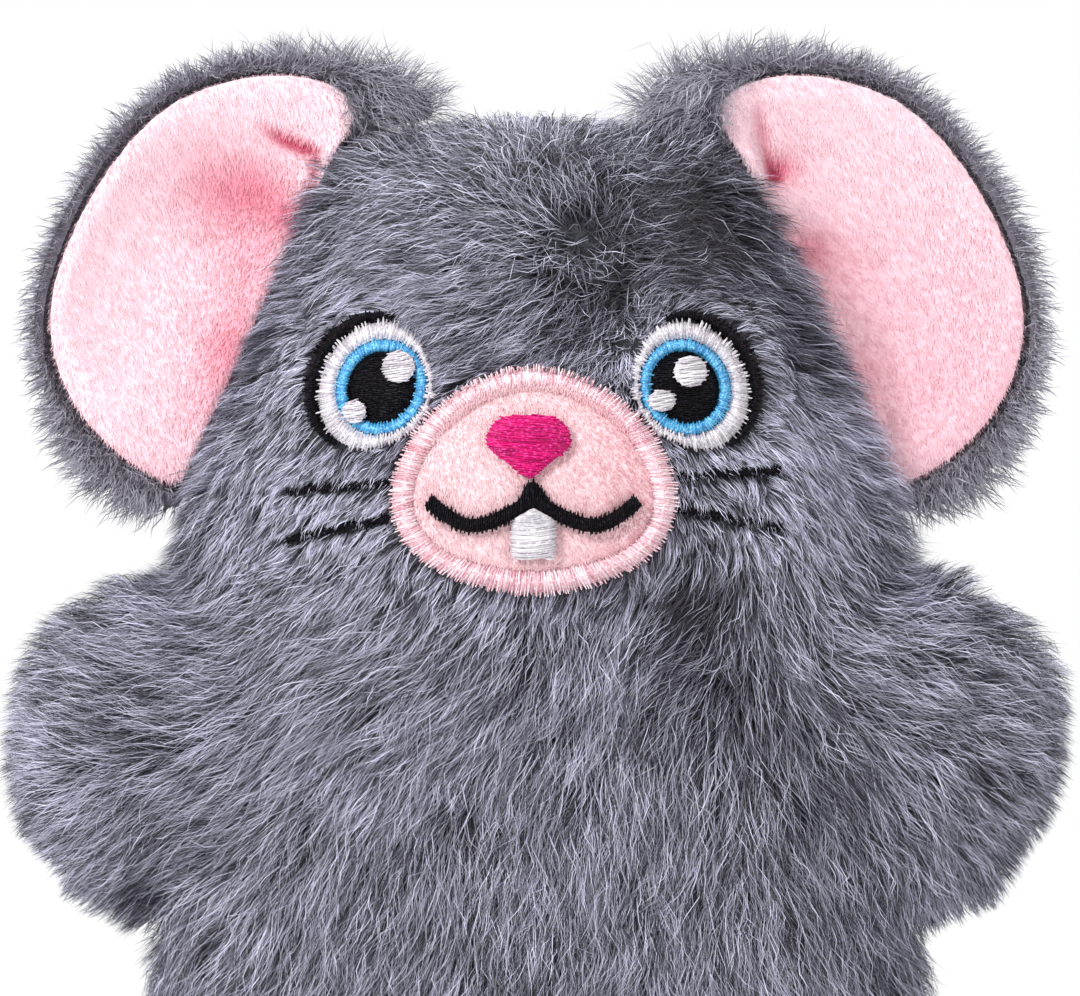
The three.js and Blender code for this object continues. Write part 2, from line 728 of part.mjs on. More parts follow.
// The lips run as one line from corner to corner, and a stem that widens drops to them from
// the nose.
function mouthForm(widen, floor, height) {
  const corner = mouthShares.map(([across, down]) => [across * mouthHalfSpan, down * mouthDrop]);
  const lips = [
    ...corner.map(([x, z]) => faceVector(-x, z)),
    ...corner.toReversed().map(([x, z]) => faceVector(x, z)),
  ];
  const stem = [
    faceVector(noseX / 2, mouthStemTop),
    faceVector(0, mouthShares.at(-1)[1] * mouthDrop),
  ];
  const lipWidth = () => mouthWidth + widen;
  const stemWidth = (share) => blend(mouthStemTopWidth, mouthStemFootWidth, share) + widen;
  return solidFrom(satinLine(lips, lipWidth, floor, height, lipStepCount))
    .add(solidFrom(satinLine(stem, stemWidth, floor, height, stemStepCount)));
}

add("mouth", mouthForm(0, featureFloor, stitchHeight), blackThread);

const toothLoop = loopThrough([
  faceVector(-toothHalfWidth, toothShoulder),
  faceVector(-toothHalfWidth / 2, (toothPeak + toothShoulder) / 2),
  faceVector(0, toothPeak),
  faceVector(toothHalfWidth / 2, (toothPeak + toothShoulder) / 2),
  faceVector(toothHalfWidth, toothShoulder),
  faceVector(toothHalfWidth, (toothShoulder + toothBottom) / 2),
  faceVector(toothHalfWidth, toothBottom), faceVector(toothHalfWidth / 2, toothBottom),
  faceVector(-toothHalfWidth / 2, toothBottom), faceVector(-toothHalfWidth, toothBottom),
  faceVector(-toothHalfWidth, (toothShoulder + toothBottom) / 2),
], toothPointCount);
const mouthClearance = mouthForm(2 * stitchGap, featureFloor - stitchHeight, 3 * stitchHeight);
add("tooth", solidFrom(pad(toothLoop, featureFloor, stitchHeight)).subtract(mouthClearance),
  whiteThread);

// The outline of an eye is widest half way round it and thins out to both ends.
const lashSwell = (share) => blend(lashThinShare, 1, Math.sin(Math.PI * share));

// Eyes. mirror is -1 for the toy's right eye, on the viewer's left.
function addEye(name, mirror, glints) {
  const tilt = mirror * rad(eyeTilt);
  const centre = faceVector(mirror * eyeX, eyeZ);
  const irisCentre = faceVector(mirror * (eyeX - irisInset), eyeZ - irisDrop);
  const irisLoop = ellipseLoop(eyePointCount, irisCentre, irisHalfWidth, irisHalfHeight, tilt);
  const irisOuter = drawnIn(irisLoop, stitchGap);
  const whiteLoop = ellipseLoop(eyePointCount, centre, eyeHalfWidth, eyeHalfHeight, tilt).map((p, i) => {
    const width = new THREE.Vector2().subVectors(p, irisLoop[i]);
    const outward = new THREE.Vector2().subVectors(irisLoop[i], irisCentre).normalize();
    const short = whiteLeastWidth - width.dot(outward);
    return short > 0 ? p.clone().addScaledVector(outward, short) : p;
  });
  add(`${name}_eye_white`, satinRing(whiteLoop, irisLoop, patchFloor, stitchHeight), whiteThread);
  const pupilLoop = drawnIn(irisOuter, irisWidth);
  add(`${name}_eye_iris`, satinRing(irisOuter, pupilLoop, patchFloor, stitchHeight), blueThread);
  add(`${name}_eye_pupil`, pad(drawnIn(pupilLoop, stitchGap), patchFloor, stitchHeight), blackThread);
  for (const [size, [x, z, wide, high]] of Object.entries(glints)) {
    const glint = ellipseLoop(glintPointCount, centre.clone().add(new THREE.Vector2(x, z)), wide, high);
    add(`${name}_eye_${size}_glint`, pad(glint, upperFloor, stitchHeight / 2), whiteThread);
  }
  const lashPath = [];
  for (let i = 0; i <= lashStepCount; i++) {
    const turn = rad(blend(lashStartAngle, lashEndAngle, i / lashStepCount));
    const angle = (mirror < 0 ? turn : Math.PI - turn) - tilt;
    const out = lashGap + (lashWidth * lashSwell(i / lashStepCount)) / 2;
    lashPath.push(
      new THREE.Vector2((eyeHalfWidth + out) * Math.cos(angle), (eyeHalfHeight + out) * Math.sin(angle))
        .rotateAround(new THREE.Vector2(), tilt)
        .add(centre),
    );
  }
  const lashWidthAt = (share) => lashWidth * lashSwell(share);
  add(`${name}_eye_outline`, satinLine(lashPath, lashWidthAt, patchFloor, stitchHeight, lashStepCount),
    blackThread);
}

addEye("right", -1, rightGlints);
addEye("left", 1, leftGlints);

function addWhiskers(name, mirror, whiskers) {
  for (const [place, [outerZ, innerZ]] of Object.entries(whiskers)) {
    const ends = [
      faceVector(mirror * whiskerOuterX, outerZ),
      faceVector(mirror * (whiskerOuterX + whiskerInnerX) / 2, (outerZ + innerZ) / 2),
      faceVector(mirror * whiskerInnerX, innerZ),
    ];
    const whisker = satinLine(ends, () => whiskerWidth, patchFloor, stitchHeight / 2, whiskerStepCount);
    add(`${name}_${place}_whisker`, whisker, blackThread);
  }
}

addWhiskers("right", -1, rightWhiskers);
addWhiskers("left", 1, leftWhiskers);

// The origin lies on the floor, under the middle of the toy's plan.
const plan = new THREE.Box3().setFromObject(mouse, true);
mouse.position.y = -(plan.min.y + plan.max.y) / 2;

export default mouse;
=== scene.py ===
import itertools
import json
import math

import bpy
import numpy as np
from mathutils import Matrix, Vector
from mathutils.bvhtree import BVHTree
from mathutils.kdtree import KDTree


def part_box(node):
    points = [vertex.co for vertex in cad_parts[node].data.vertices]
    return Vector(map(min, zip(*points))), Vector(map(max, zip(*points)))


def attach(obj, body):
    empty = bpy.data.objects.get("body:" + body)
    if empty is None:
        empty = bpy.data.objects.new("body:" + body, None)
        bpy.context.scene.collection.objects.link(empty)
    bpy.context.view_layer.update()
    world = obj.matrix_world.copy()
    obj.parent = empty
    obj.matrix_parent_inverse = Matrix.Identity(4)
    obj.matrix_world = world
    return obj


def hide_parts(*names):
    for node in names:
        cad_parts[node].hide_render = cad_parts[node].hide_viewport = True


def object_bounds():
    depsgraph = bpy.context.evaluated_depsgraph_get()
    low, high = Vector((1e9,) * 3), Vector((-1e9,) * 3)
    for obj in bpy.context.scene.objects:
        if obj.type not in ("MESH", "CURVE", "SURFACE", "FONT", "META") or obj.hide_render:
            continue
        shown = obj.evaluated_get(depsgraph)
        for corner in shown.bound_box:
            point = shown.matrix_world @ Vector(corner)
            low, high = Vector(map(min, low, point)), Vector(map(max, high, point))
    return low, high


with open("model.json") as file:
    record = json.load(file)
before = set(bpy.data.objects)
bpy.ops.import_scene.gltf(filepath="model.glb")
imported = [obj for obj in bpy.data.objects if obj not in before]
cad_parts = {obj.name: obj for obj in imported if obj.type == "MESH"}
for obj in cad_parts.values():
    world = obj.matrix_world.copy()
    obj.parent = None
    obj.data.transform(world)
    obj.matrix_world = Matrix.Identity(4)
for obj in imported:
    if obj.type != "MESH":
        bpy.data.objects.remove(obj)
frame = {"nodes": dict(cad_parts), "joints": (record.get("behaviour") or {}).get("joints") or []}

# Camera
# The photograph looks straight at the face from the front, level with the muzzle, and its
# lower edge crosses the belly. It is taken from well back, so the lens is a long one.
MM = 0.001
cad_low, cad_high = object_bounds()
camera_distance = 1700 * MM
face_depth = 24 * MM
framed_width = 118.8 * MM
frame_middle = Vector((0.33, 0, 103.6)) * MM

bpy.ops.object.select_all(action="DESELECT")
bpy.ops.object.camera_add(
    location=(frame_middle.x, -camera_distance, frame_middle.z),
    rotation=(math.radians(90), 0, 0),
)
camera = bpy.context.object
camera.data.lens = camera.data.sensor_width * (camera_distance - face_depth) / framed_width
camera.data.clip_start = 100 * MM
bpy.context.scene.camera = camera
bpy.context.scene.view_settings.view_transform = "Standard"

# Fur skins
# The mouse is cut from long pile plush, sewn inside out, turned and stuffed. Its woven
# backing lies under the pile: closer to the surface on the head, where the pile is shorter,
# and pulled right up to the stitching where the face is embroidered through it.
skin_nodes = {
    "head": ("head_front_panel", "head_back_panel", "head_fill"),
    "torso": ("torso_front_panel", "torso_back_panel", "torso_fill"),
    **{
        part: (part, f"{part}_fill") for part in ("right_arm", "left_arm", "right_leg", "left_leg")
    },
}
stitched_nodes = [
    "muzzle_border", "muzzle_patch", "nose", "mouth", "tooth",
    *[
        f"{side}_{part}"
        for side in ("right", "left")
        for part in (
            "eye_white", "eye_iris", "eye_pupil", "eye_large_glint", "eye_small_glint",
            "eye_outline", "upper_whisker", "lower_whisker",
        )
    ],
]
skin_voxel = 1.3 * MM
neck_height = 90 * MM
neck_blend = 14 * MM  # height over which the long body pile gives way to the head's
body_pile_depth = 3.6 * MM  # from the lying fur's surface down to the backing
head_pile_depth = 2.1 * MM
sole_pile_depth = 1.0 * MM
sole_height = 6 * MM
stitched_depth = 0.1 * MM
trimmed_reach = 7 * MM  # how far round the eyes and whiskers the pile is trimmed
backing_thickness = 1.0 * MM
# The backing is painted near-black, as painted shade deep in the pile
shaded_backing_colour = (0.035, 0.037, 0.045)
face_front = -5 * MM  # the face and its stitching lie in front of this
face_bottom = 85 * MM  # and above this
well_in_front = -200 * MM
# Where the stuffing leaves the arms slack: x, height, radius and depth (mm)
slack_spots = [(56, 62, 7, 3), (-56, 60, 6, 2.5), (-54, 92, 6, 2.2), (55, 93, 6, 2.2)]


def smooth_share(value):
    share = np.clip(value, 0, 1)
    return share * share * (3 - 2 * share)


def mixed(low, high, share):
    return low + (high - low) * share


def new_piece(name, mesh):
    piece = bpy.data.objects.new(name, mesh)
    bpy.context.collection.objects.link(piece)
    return piece


def only(piece):
    bpy.ops.object.select_all(action="DESELECT")
    piece.select_set(True)
    bpy.context.view_layer.objects.active = piece


def edited(piece, operator, **settings):
    """Runs an operator on the whole mesh of a piece."""
    only(piece)
    bpy.ops.object.mode_set(mode="EDIT")
    bpy.ops.mesh.select_all(action="SELECT")
    operator(**settings)
    bpy.ops.object.mode_set(mode="OBJECT")


def joined_copy(name, nodes):
    copies = [new_piece(name, frame["nodes"][node].data.copy()) for node in nodes]
    only(copies[-1])
    for copy in copies:
        copy.select_set(True)
    if len(nodes) > 1:
        bpy.ops.object.join()
    piece = bpy.context.object
    piece.name = name
    piece.data.materials.clear()
    edited(piece, bpy.ops.mesh.remove_doubles, threshold=1e-6)
    return piece


def apply_modifier(piece, kind, **settings):
    only(piece)
    modifier = piece.modifiers.new(kind.title(), kind)
    for key, value in settings.items():
        setattr(modifier, key, value)
    bpy.ops.object.modifier_apply(modifier=modifier.name)


def remeshed(piece, voxel, smoothing):
    only(piece)
    piece.data.remesh_voxel_size = voxel
    bpy.ops.object.voxel_remesh()
    apply_modifier(piece, "SMOOTH", factor=0.5, iterations=smoothing)


def points_of(mesh):
    points = np.zeros(len(mesh.vertices) * 3)
    mesh.vertices.foreach_get("co", points)
    return points.reshape(-1, 3)


def normals_of(mesh):
    normals = np.zeros(len(mesh.vertices) * 3)
    mesh.vertices.foreach_get("normal", normals)
    return normals.reshape(-1, 3)


def triangles_of(mesh):
    mesh.calc_loop_triangles()
    corners = np.zeros(len(mesh.loop_triangles) * 3, int)
    mesh.loop_triangles.foreach_get("vertices", corners)
    return points_of(mesh)[corners.reshape(-1, 3)]


def set_points(mesh, points):
    mesh.vertices.foreach_set("co", points.ravel())
    mesh.update()


def merged(nodes):
    """The points and faces of some CAD nodes, and the node that each face is of."""
    points, faces, owners = [], [], []
    for node in nodes:
        mesh = frame["nodes"][node].data
        first = len(points)
        points.extend(v.co.copy() for v in mesh.vertices)
        faces.extend([first + i for i in face.vertices] for face in mesh.polygons)
        owners.extend([node] * len(mesh.polygons))
    return points, faces, owners


def tree_of(nodes):
    return BVHTree.FromPolygons(*merged(nodes)[:2])


def surface_of(piece):
    return BVHTree.FromObject(piece, bpy.context.evaluated_depsgraph_get())


def searchable(points):
    tree = KDTree(len(points))
    for index, point in enumerate(points):
        tree.insert(point, index)
    tree.balance()
    return tree


def flat_distance(points, nodes):
    """How far points lie from some of the face's stitching, seen from the front."""
    flat = np.array([1, 0, 1])
    tree = searchable(flat * np.concatenate([points_of(frame["nodes"][n].data) for n in nodes]))
    return np.array([tree.find(point)[2] for point in flat * points])


def spot(places, x, z, radius):
    """1 at a spot seen from the front, and less away from it, for a radius in mm."""
    apart = np.linalg.norm(places[:, [0, 2]] - np.array([x, z]) * MM, axis=1)
    return np.exp(-((apart / (radius * MM)) ** 2))


def seen_at(tree, x, z):
    """Where a look from straight in front meets a surface, or None."""
    return tree.ray_cast(Vector((x, well_in_front, z)), Vector((0, 1, 0)))[0]


stitched_tree = tree_of(stitched_nodes)
muzzle_nodes = [node for node in stitched_nodes if node in ("muzzle_border", "muzzle_patch")]
whisker_nodes = [node for node in stitched_nodes if "whisker" in node]
trimmed_nodes = [node for node in stitched_nodes if "eye" in node] + whisker_nodes


def behind_stitching(x, z):
    return seen_at(stitched_tree, x, z) is not None


def on_face(points):
    return (points[:, 1] < face_front) & (points[:, 2] > face_bottom)


def under_stitching(points):
    covered = on_face(points)
    covered[covered] = [behind_stitching(x, z) for x, _, z in points[covered]]
    return covered


def pile_shares(points):
    """1 where the pile has its full length, and less beside the stitching."""
    shares = np.ones(len(points))
    facing = on_face(points)
    near_eyes = flat_distance(points[facing], trimmed_nodes) / trimmed_reach
    near_muzzle = flat_distance(points[facing], muzzle_nodes) / (0.6 * trimmed_reach)
    shares[facing] = smooth_share(np.minimum(near_eyes, near_muzzle))
    shares[under_stitching(points)] = 0
    return shares


def head_shares(places):
    """1 on the head and 0 on the body, and between them at the neck."""
    return smooth_share((places[:, 2] - neck_height + neck_blend / 2) / neck_blend)


body_skin = joined_copy("body_skin", [node for nodes in skin_nodes.values() for node in nodes])
remeshed(body_skin, skin_voxel, 8)
skin_points = points_of(body_skin.data)
skin_normals = normals_of(body_skin.data)
pile_depth = mixed(body_pile_depth, head_pile_depth, head_shares(skin_points))
pile_depth = mixed(stitched_depth, pile_depth, pile_shares(skin_points))
sole = smooth_share(1 - skin_points[:, 2] / sole_height) * smooth_share(-skin_normals[:, 2])
pile_depth = mixed(pile_depth, sole_pile_depth, sole)
for x, z, radius, slack in slack_spots:
    pile_depth += slack * MM * spot(skin_points, x, z, radius)
set_points(body_skin.data, skin_points - skin_normals * pile_depth[:, None])
remeshed(body_skin, skin_voxel, 3)

skin_triangles = triangles_of(body_skin.data)
skin_tree = surface_of(body_skin)


def feed(tree, node, inputs):
    """Gives each of some inputs of a shader node its value, or its link if it is a socket."""
    for name, value in inputs.items():
        if isinstance(value, bpy.types.NodeSocket):
            tree.links.new(value, node.inputs[name])
        else:
            node.inputs[name].default_value = value


def outputs_of(tree, kind, inputs=None, **settings):
    """The outputs of a new shader node."""
    node = tree.nodes.new(f"ShaderNode{kind}")
    for name, value in settings.items():
        setattr(node, name, value)
    feed(tree, node, inputs or {})
    return node.outputs


def blended(tree, share, low, high):
    """The mix of two colours."""
    inputs = {"Factor": share, "A": low, "B": high}
    return outputs_of(tree, "Mix", inputs, data_type="RGBA")["Result"]


def principled(name, inputs):
    material = bpy.data.materials.new(name)
    material.use_nodes = True
    tree = material.node_tree
    shader = tree.nodes["Principled BSDF"]
    feed(tree, shader, inputs)
    return material, tree, shader


def shader_group(name, inputs, outputs):
    """A new node group with named inputs and outputs, and the sockets of its inputs."""
    group = bpy.data.node_groups.new(name, "ShaderNodeTree")
    for way, sockets in (("INPUT", inputs), ("OUTPUT", outputs)):
        for socket, kind in sockets.items():
            group.interface.new_socket(socket, in_out=way, socket_type=f"NodeSocket{kind}")
    return group, group.nodes.new("NodeGroupInput").outputs


def woven_group():
    """The grain of a cloth: noise fixed to it, as a mask for its colour and as bump."""
    group, given = shader_group(
        "Woven grain", {"Grains a metre": "Float", "Detail": "Float", "Depth": "Float"},
        {"Mask": "Float", "Normal": "Vector"},
    )
    place = outputs_of(group, "TexCoord")["Object"]
    noise = {"Scale": given["Grains a metre"], "Detail": given["Detail"], "Vector": place}
    mask = outputs_of(group, "TexNoise", noise)["Fac"]
    bump = outputs_of(group, "Bump", {"Distance": given["Depth"], "Height": mask})["Normal"]
    feed(group, group.nodes.new("NodeGroupOutput"), {"Mask": mask, "Normal": bump})
    return group


woven_grain = woven_group()


def grained(tree, shader, grain, depth, detail):
    """Puts the grain on a material's shader, and gives its mask."""
    inputs = {"Grains a metre": 1 / grain, "Detail": detail, "Depth": depth}
    woven = outputs_of(tree, "Group", inputs, node_tree=woven_grain)
    feed(tree, shader, {"Normal": woven["Normal"]})
    return woven["Mask"]


def backing_material(name, colour):
    material, tree, shader = principled(name, {"Roughness": 0.95})
    mask = grained(tree, shader, 0.6 * MM, 0.2 * MM, 3)
    dark = [0.7 * c for c in colour] + [1]
    pale = [1.25 * c for c in colour] + [1]
    feed(tree, shader, {"Base Color": blended(tree, mask, dark, pale)})
    return material


backing = backing_material("plush_backing", shaded_backing_colour)


def part_finder():
    """Says which sewn part of the mouse is nearest to a point."""
    part_of = {
        node: part for part, nodes in enumerate(skin_nodes.values())
        for node in nodes if not node.endswith("fill")
    }
    points, faces, owners = merged(part_of)
    tree = BVHTree.FromPolygons(points, faces)
    return lambda point: part_of[owners[tree.find_nearest(point)[2]]]


nearest_part = part_finder()
for _ in skin_nodes:
    body_skin.data.materials.append(None)
for face in body_skin.data.polygons:
    face.material_index = nearest_part(face.center)
edited(body_skin, bpy.ops.mesh.separate, type="MATERIAL")
for piece in list(bpy.context.selected_objects):
    part = list(skin_nodes)[nearest_part(piece.data.polygons[0].center)]
    piece.name = f"{part}_skin"
    piece.data.materials.clear()
    piece.data.materials.append(backing)
    for face in piece.data.polygons:
        face.material_index = 0
    apply_modifier(piece, "SOLIDIFY", thickness=backing_thickness, offset=-1)
    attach(piece, "body")
    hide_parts(*skin_nodes[part])

# Fur
# The pile is combed crimped fibre, 12 mm long on the body, 8.5 mm on the head and clipped short
# round the eyes and whiskers. It lies over in loose locks that part along the middle of the
# chest and run out along the arms. Each fibre here is a thin ribbon that tapers to a tip.
fibre_steps = 8
body_fibre_length = 12 * MM
head_fibre_length = 8.5 * MM
clipped_fibre_length = 2.6 * MM
body_lift = 3.9 * MM  # height of a lying fibre's tip over the backing
head_lift = 2.3 * MM
clipped_lift = 0.9 * MM
fibre_width = 0.1 * MM  # of the fine fur at the front; the rest is coarser
coarse_fibre_width = 0.18 * MM
lattice_cell = 2 * MM
lattice_margin = 14 * MM
chest_front, arm_front, arms_from = -24, -12, 42  # where the combing of the front lies (mm)
comb_reach = 3 * MM  # within this, one way of combing outweighs the others
comb_fading = 1.7
gentle_turn, tangled_turn = 15, 75  # how far the fur strays from its combing (degrees)
gentle_patch, tangled_patch = 13 * MM, 4 * MM
coarse_lock_size = 4 * MM
coarse_lock_spread = 0.04  # of the tones of its locks
fine_lock_size = 1.2 * MM
fine_lock_spread = 0.26
under_hair_spread = 0.2
fibre_spread = 0.16
body_densities = (3.6, 9.0)  # fibres a square millimetre at the back and at the front
head_densities = (5.0, 14.5)
sole_density = 0.3
uneven_lengths = (0.72, 1.08)
arms_shorter = 0.22  # the share by which the pile is shorter on the arms
standing_shorter = 0.4  # and where it stands up at the ends of the limbs
ear_overlap = 0.3  # the share by which it is longer where it lies over an ear
guard_hairs = 0.2  # the share of stiff fibres, which stand out of the locks
under_hairs = 0.44  # the share of dark, fine ones underneath
guard_tone, plain_tone, under_tone = 0.7, 0.46, 0.0  # 0 is dark and 1 pale
guard_rise = 0.5 * MM
guard_wander, plain_wander, tangled_wander = 0.38, 0.2, 0.7  # off the combing (radians)
crimp, weaving = 0.07, 0.05  # how far a fibre waves and dives, as shares of its length
usual_overhang, whisker_overhang = 0.8 * MM, 1.0 * MM  # over the edge of the stitching
muzzle_overhang, muzzle_tuft = 2.2 * MM, (-9, 105, 5)  # at this x, height and radius (mm)
stray_hairs = 0.03  # the share that lies far over the stitching
stray_overhang = 3 * MM
tone_bins = 32

# Where the fur is combed, on the front: x, height (mm) and the way it lies (degrees, 0 is
# towards +X and 90 is up)
front_combing = [
    (-6, 141, 176), (-15, 139, 185), (0, 144, 115), (7, 143, 60), (14, 142, 40), (3, 140, 70),
    (10, 137, 40), (17, 136, 10), (22, 132, 345), (27, 125, 335), (-15, 133, 190),
    (-23, 129, 205), (-29, 121, 235), (-33, 111, 252), (-7, 135, 190), (0, 132, 232),
    (-9, 130, 213), (-2, 127, 228), (3, 122, 235), (-9, 123, 225), (8, 125, 265), (11, 130, 15),
    (15, 126, 85), (21, 125, 55), (26, 121, 15), (30, 115, 335), (33, 107, 325), (-11, 101, 225),
    (-26, 103, 255), (-33, 99, 218), (28, 104, 295), (34, 99, 322), (-12, 92, 238), (0, 90, 256),
    (12, 92, 280), (-26, 90, 212), (-15, 86, 224), (-6, 79, 232), (3, 81, 240),
    (7, 73, 262), (18, 98, 285), (17, 94, 200), (19, 90, 215), (16, 87, 205), (20, 83, 228),
    (23, 78, 270), (26, 97, 308), (30, 90, 300), (35, 82, 343), (39, 75, 315), (33, 71, 300),
    (40, 66, 310), (-28, 75, 222), (-17, 70, 238), (-8, 64, 262),
    (3, 62, 270), (16, 66, 266), (30, 60, 282), (-26, 59, 256),
    (-38, 95, 205), (-33, 93, 215), (-43, 92, 200), (-49, 93, 165), (-54, 88, 165),
    (-38, 87, 205), (-30, 81, 222), (-48, 84, 152), (-45, 80, 182), (-40, 77, 207),
    (-52, 78, 160), (-46, 74, 172), (-51, 70, 205), (-43, 67, 212), (-50, 64, 222),
    (-40, 59, 240), (-53, 60, 228), (-46, 57, 250),
    (42, 94, 345), (49, 91, 338), (54, 86, 350), (49, 82, 340), (51, 77, 335), (56, 77, 350),
    (46, 73, 320), (56, 68, 318), (51, 63, 305), (46, 61, 290), (42, 58, 280),
    (0, 40, 270), (-30, 40, 262), (30, 40, 278), (0, 15, 270),
]
# Where the pile catches the light, or stands in its own shade: x, height, radius (mm) and by
# how much it is paler
tone_spots = [
    (13.5, 132, 8, -0.7), (1, 132, 5, 0.15), (0, 122, 7, -0.12), (6.4, 126.5, 2, -0.3),
    (4.7, 122.7, 2, -0.3), (-30.5, 110.5, 8, 0.12), (31, 110.5, 8, 0.32), (27, 78, 9, -0.18),
    (18.5, 95, 3.5, -0.8), (20, 88, 5, -0.2), (50, 75, 9, -0.05), (-39, 63, 3, -0.4),
    (24, 120, 5, -0.25), (39, 94, 5, 0.3), (-39, 95, 5, 0.2), (15, 145, 5, 0.25),
]
# Where the pile stands up most: x, height, radius and extra lift (mm)
fluffed_spots = [
    (-40, 95, 6, 2.5), (40, 94, 6, 3), (-43, 55, 5, 3), (43, 55, 5, 3),
    (12, 141, 4, 2.5), (-18.5, 139.5, 3.5, 2.5),
]
# Elsewhere: place (mm) and direction, on the middle or on the right, and mirrored to the left
other_combing = []
for place, way in (
    ((-9, 2, 145), (-0.7, 0.4, 0.5)), ((0, 4, 146), (0.1, 1, 0.3)),
    ((-24, 4, 132), (-0.3, 0.3, -1)), ((-38, 2, 100), (-0.3, 0.1, -1)),
    ((0, 22, 135), (0, 0.3, -1)), ((-20, 24, 118), (-0.3, 0, -1)), ((0, 26, 95), (0, 0, -1)),
    ((-25, 22, 85), (-0.7, 0, -0.8)), ((-50, 14, 77), (-1, 0, -0.3)), ((0, 28, 50), (0, 0, -1)),
    ((-30, 24, 45), (-0.2, 0, -1)), ((-42, 2, 40), (-0.1, 0, -1)), ((0, 26, 10), (0, 0.2, -1)),
    ((-20, -30, 28), (-0.1, -1, -0.5)), ((-27, -48, 22), (-0.2, -1, -0.8)),
    ((-38, -35, 12), (-0.6, -0.5, -0.7)), ((-12, -40, 12), (0.2, -0.6, -0.9)),
):
    other_combing.append((place, way))
    if place[0] < 0:
        other_combing.append(((-place[0], *place[1:]), (-way[0], *way[1:])))


def unit(vectors):
    return vectors / np.maximum(np.linalg.norm(vectors, axis=-1, keepdims=True), 1e-12)


def dots(a, b):
    return (a * b).sum(-1, keepdims=True)


lattice_low = np.array(cad_low) - lattice_margin
lattice_high = np.array(cad_high) + lattice_margin
lattice_size = np.ceil((lattice_high - lattice_low) / lattice_cell).astype(int) + 1


def sampled(grid, points, cell=lattice_cell):
    """The values of a regular grid at points between its knots."""
    at = np.clip((points - lattice_low) / cell, 0, np.array(grid.shape[:3]) - 1.001)
    base = at.astype(int)
    part = at - base
    total = np.zeros((len(points), grid.shape[3]))
    for corner in itertools.product((0, 1), repeat=3):
        index = base + np.array(corner)
        weight = np.prod(np.where(corner, part, 1 - part), axis=1)
        total += grid[index[:, 0], index[:, 1], index[:, 2]] * weight[:, None]
    return total


def patchy(points, size, seed):
    """Smooth random numbers from -1 to 1 that change over patches of a size."""
    random = np.random.default_rng(seed)
    shape = np.ceil(lattice_size * lattice_cell / size).astype(int) + 2
    return sampled(random.uniform(-1, 1, (*shape, 1)), points, cell=size)[:, 0]


def signed_distances(tree, knots, reach):
    distances = np.full(len(knots), reach)
    for index, knot in enumerate(knots):
        place, normal, _, distance = tree.find_nearest(knot, reach)
        if place is not None:
            outside = (Vector(knot) - place).dot(normal) > 0
            distances[index] = distance if outside else -distance
    return distances


axes = [lattice_low[i] + np.arange(lattice_size[i]) * lattice_cell for i in range(3)]
knots = np.stack(np.meshgrid(*axes, indexing="ij"), -1).reshape(-1, 3)
heights = signed_distances(skin_tree, knots, lattice_margin).reshape(lattice_size)
slopes = np.stack(np.gradient(heights, lattice_cell), -1)
comb_places = np.array(
    [(x, chest_front if abs(x) < arms_from else arm_front, z) for x, z, _ in front_combing]
    + [place for place, _ in other_combing]
) * MM
comb_ways = unit(np.array(
    [(math.cos(math.radians(a)), 0, math.sin(math.radians(a))) for _, _, a in front_combing]
    + [way for _, way in other_combing]
))
flow = np.zeros_like(knots)
total_weight = np.zeros((len(knots), 1))
for place, way in zip(comb_places, comb_ways):
    apart = ((knots - place) ** 2).sum(1, keepdims=True)
    weight = 1 / (apart + comb_reach ** 2) ** comb_fading
    flow += way * weight
    total_weight += weight
flow = (flow / total_weight).reshape(*lattice_size, 3)
# Where two ways of combing meet, the fur is tangled
tangle = smooth_share(1 - np.linalg.norm(flow, axis=3).ravel() / 0.8)
turning = gentle_turn * patchy(knots, gentle_patch, 1)
turning += mixed(gentle_turn, tangled_turn, tangle) * patchy(knots, tangled_patch, 2)
fur_grid = np.concatenate(
    [
        heights[..., None], slopes, flow,
        np.radians(turning).reshape(*lattice_size, 1), tangle.reshape(*lattice_size, 1),
    ], -1
)


def scattered(corners, density_at, random):
    """Random points on triangles, so many a square metre."""
    a, b, c = corners[:, 0], corners[:, 1], corners[:, 2]
    cross = np.cross(b - a, c - a)
    expected = np.linalg.norm(cross, axis=1) / 2 * density_at(corners.mean(1), cross)
    chosen = np.repeat(np.arange(len(corners)), random.poisson(expected))
    u, v = random.random((2, len(chosen), 1))
    over = (u + v) > 1
    u, v = np.where(over, 1 - u, u), np.where(over, 1 - v, v)
    return a[chosen] + u * (b - a)[chosen] + v * (c - a)[chosen]


def combed(roots, length, lift, standing, wander, random):
    """Paths of fibres that rise from their roots and lie over along the flow, or stand up."""
    step = (length / fibre_steps)[:, None]
    turn = random.normal(0, 1, len(roots)) * wander
    place = roots.copy()
    heading = None
    path = [place]
    for index in range(fibre_steps):
        here = sampled(fur_grid, place)
        up = unit(here[:, 1:4])
        along = here[:, 4:7]
        along = unit(along - up * dots(along, up))
        angle = (here[:, 7] + turn)[:, None]
        along = along * np.cos(angle) + np.cross(up, along) * np.sin(angle)
        share = (index + 1) / fibre_steps
        wanted = lift[:, None] * (1 - (1 - share) ** 1.8)
        climb = np.clip((wanted - here[:, :1]) / step, -0.6, 1.4)
        aim = unit(along * (1 - 0.75 * standing) + up * mixed(climb, 1, standing))
        heading = aim if heading is None else unit(0.45 * heading + 0.55 * aim)
        place = place + heading * step
        path.append(place)
    return np.stack(path, 1)


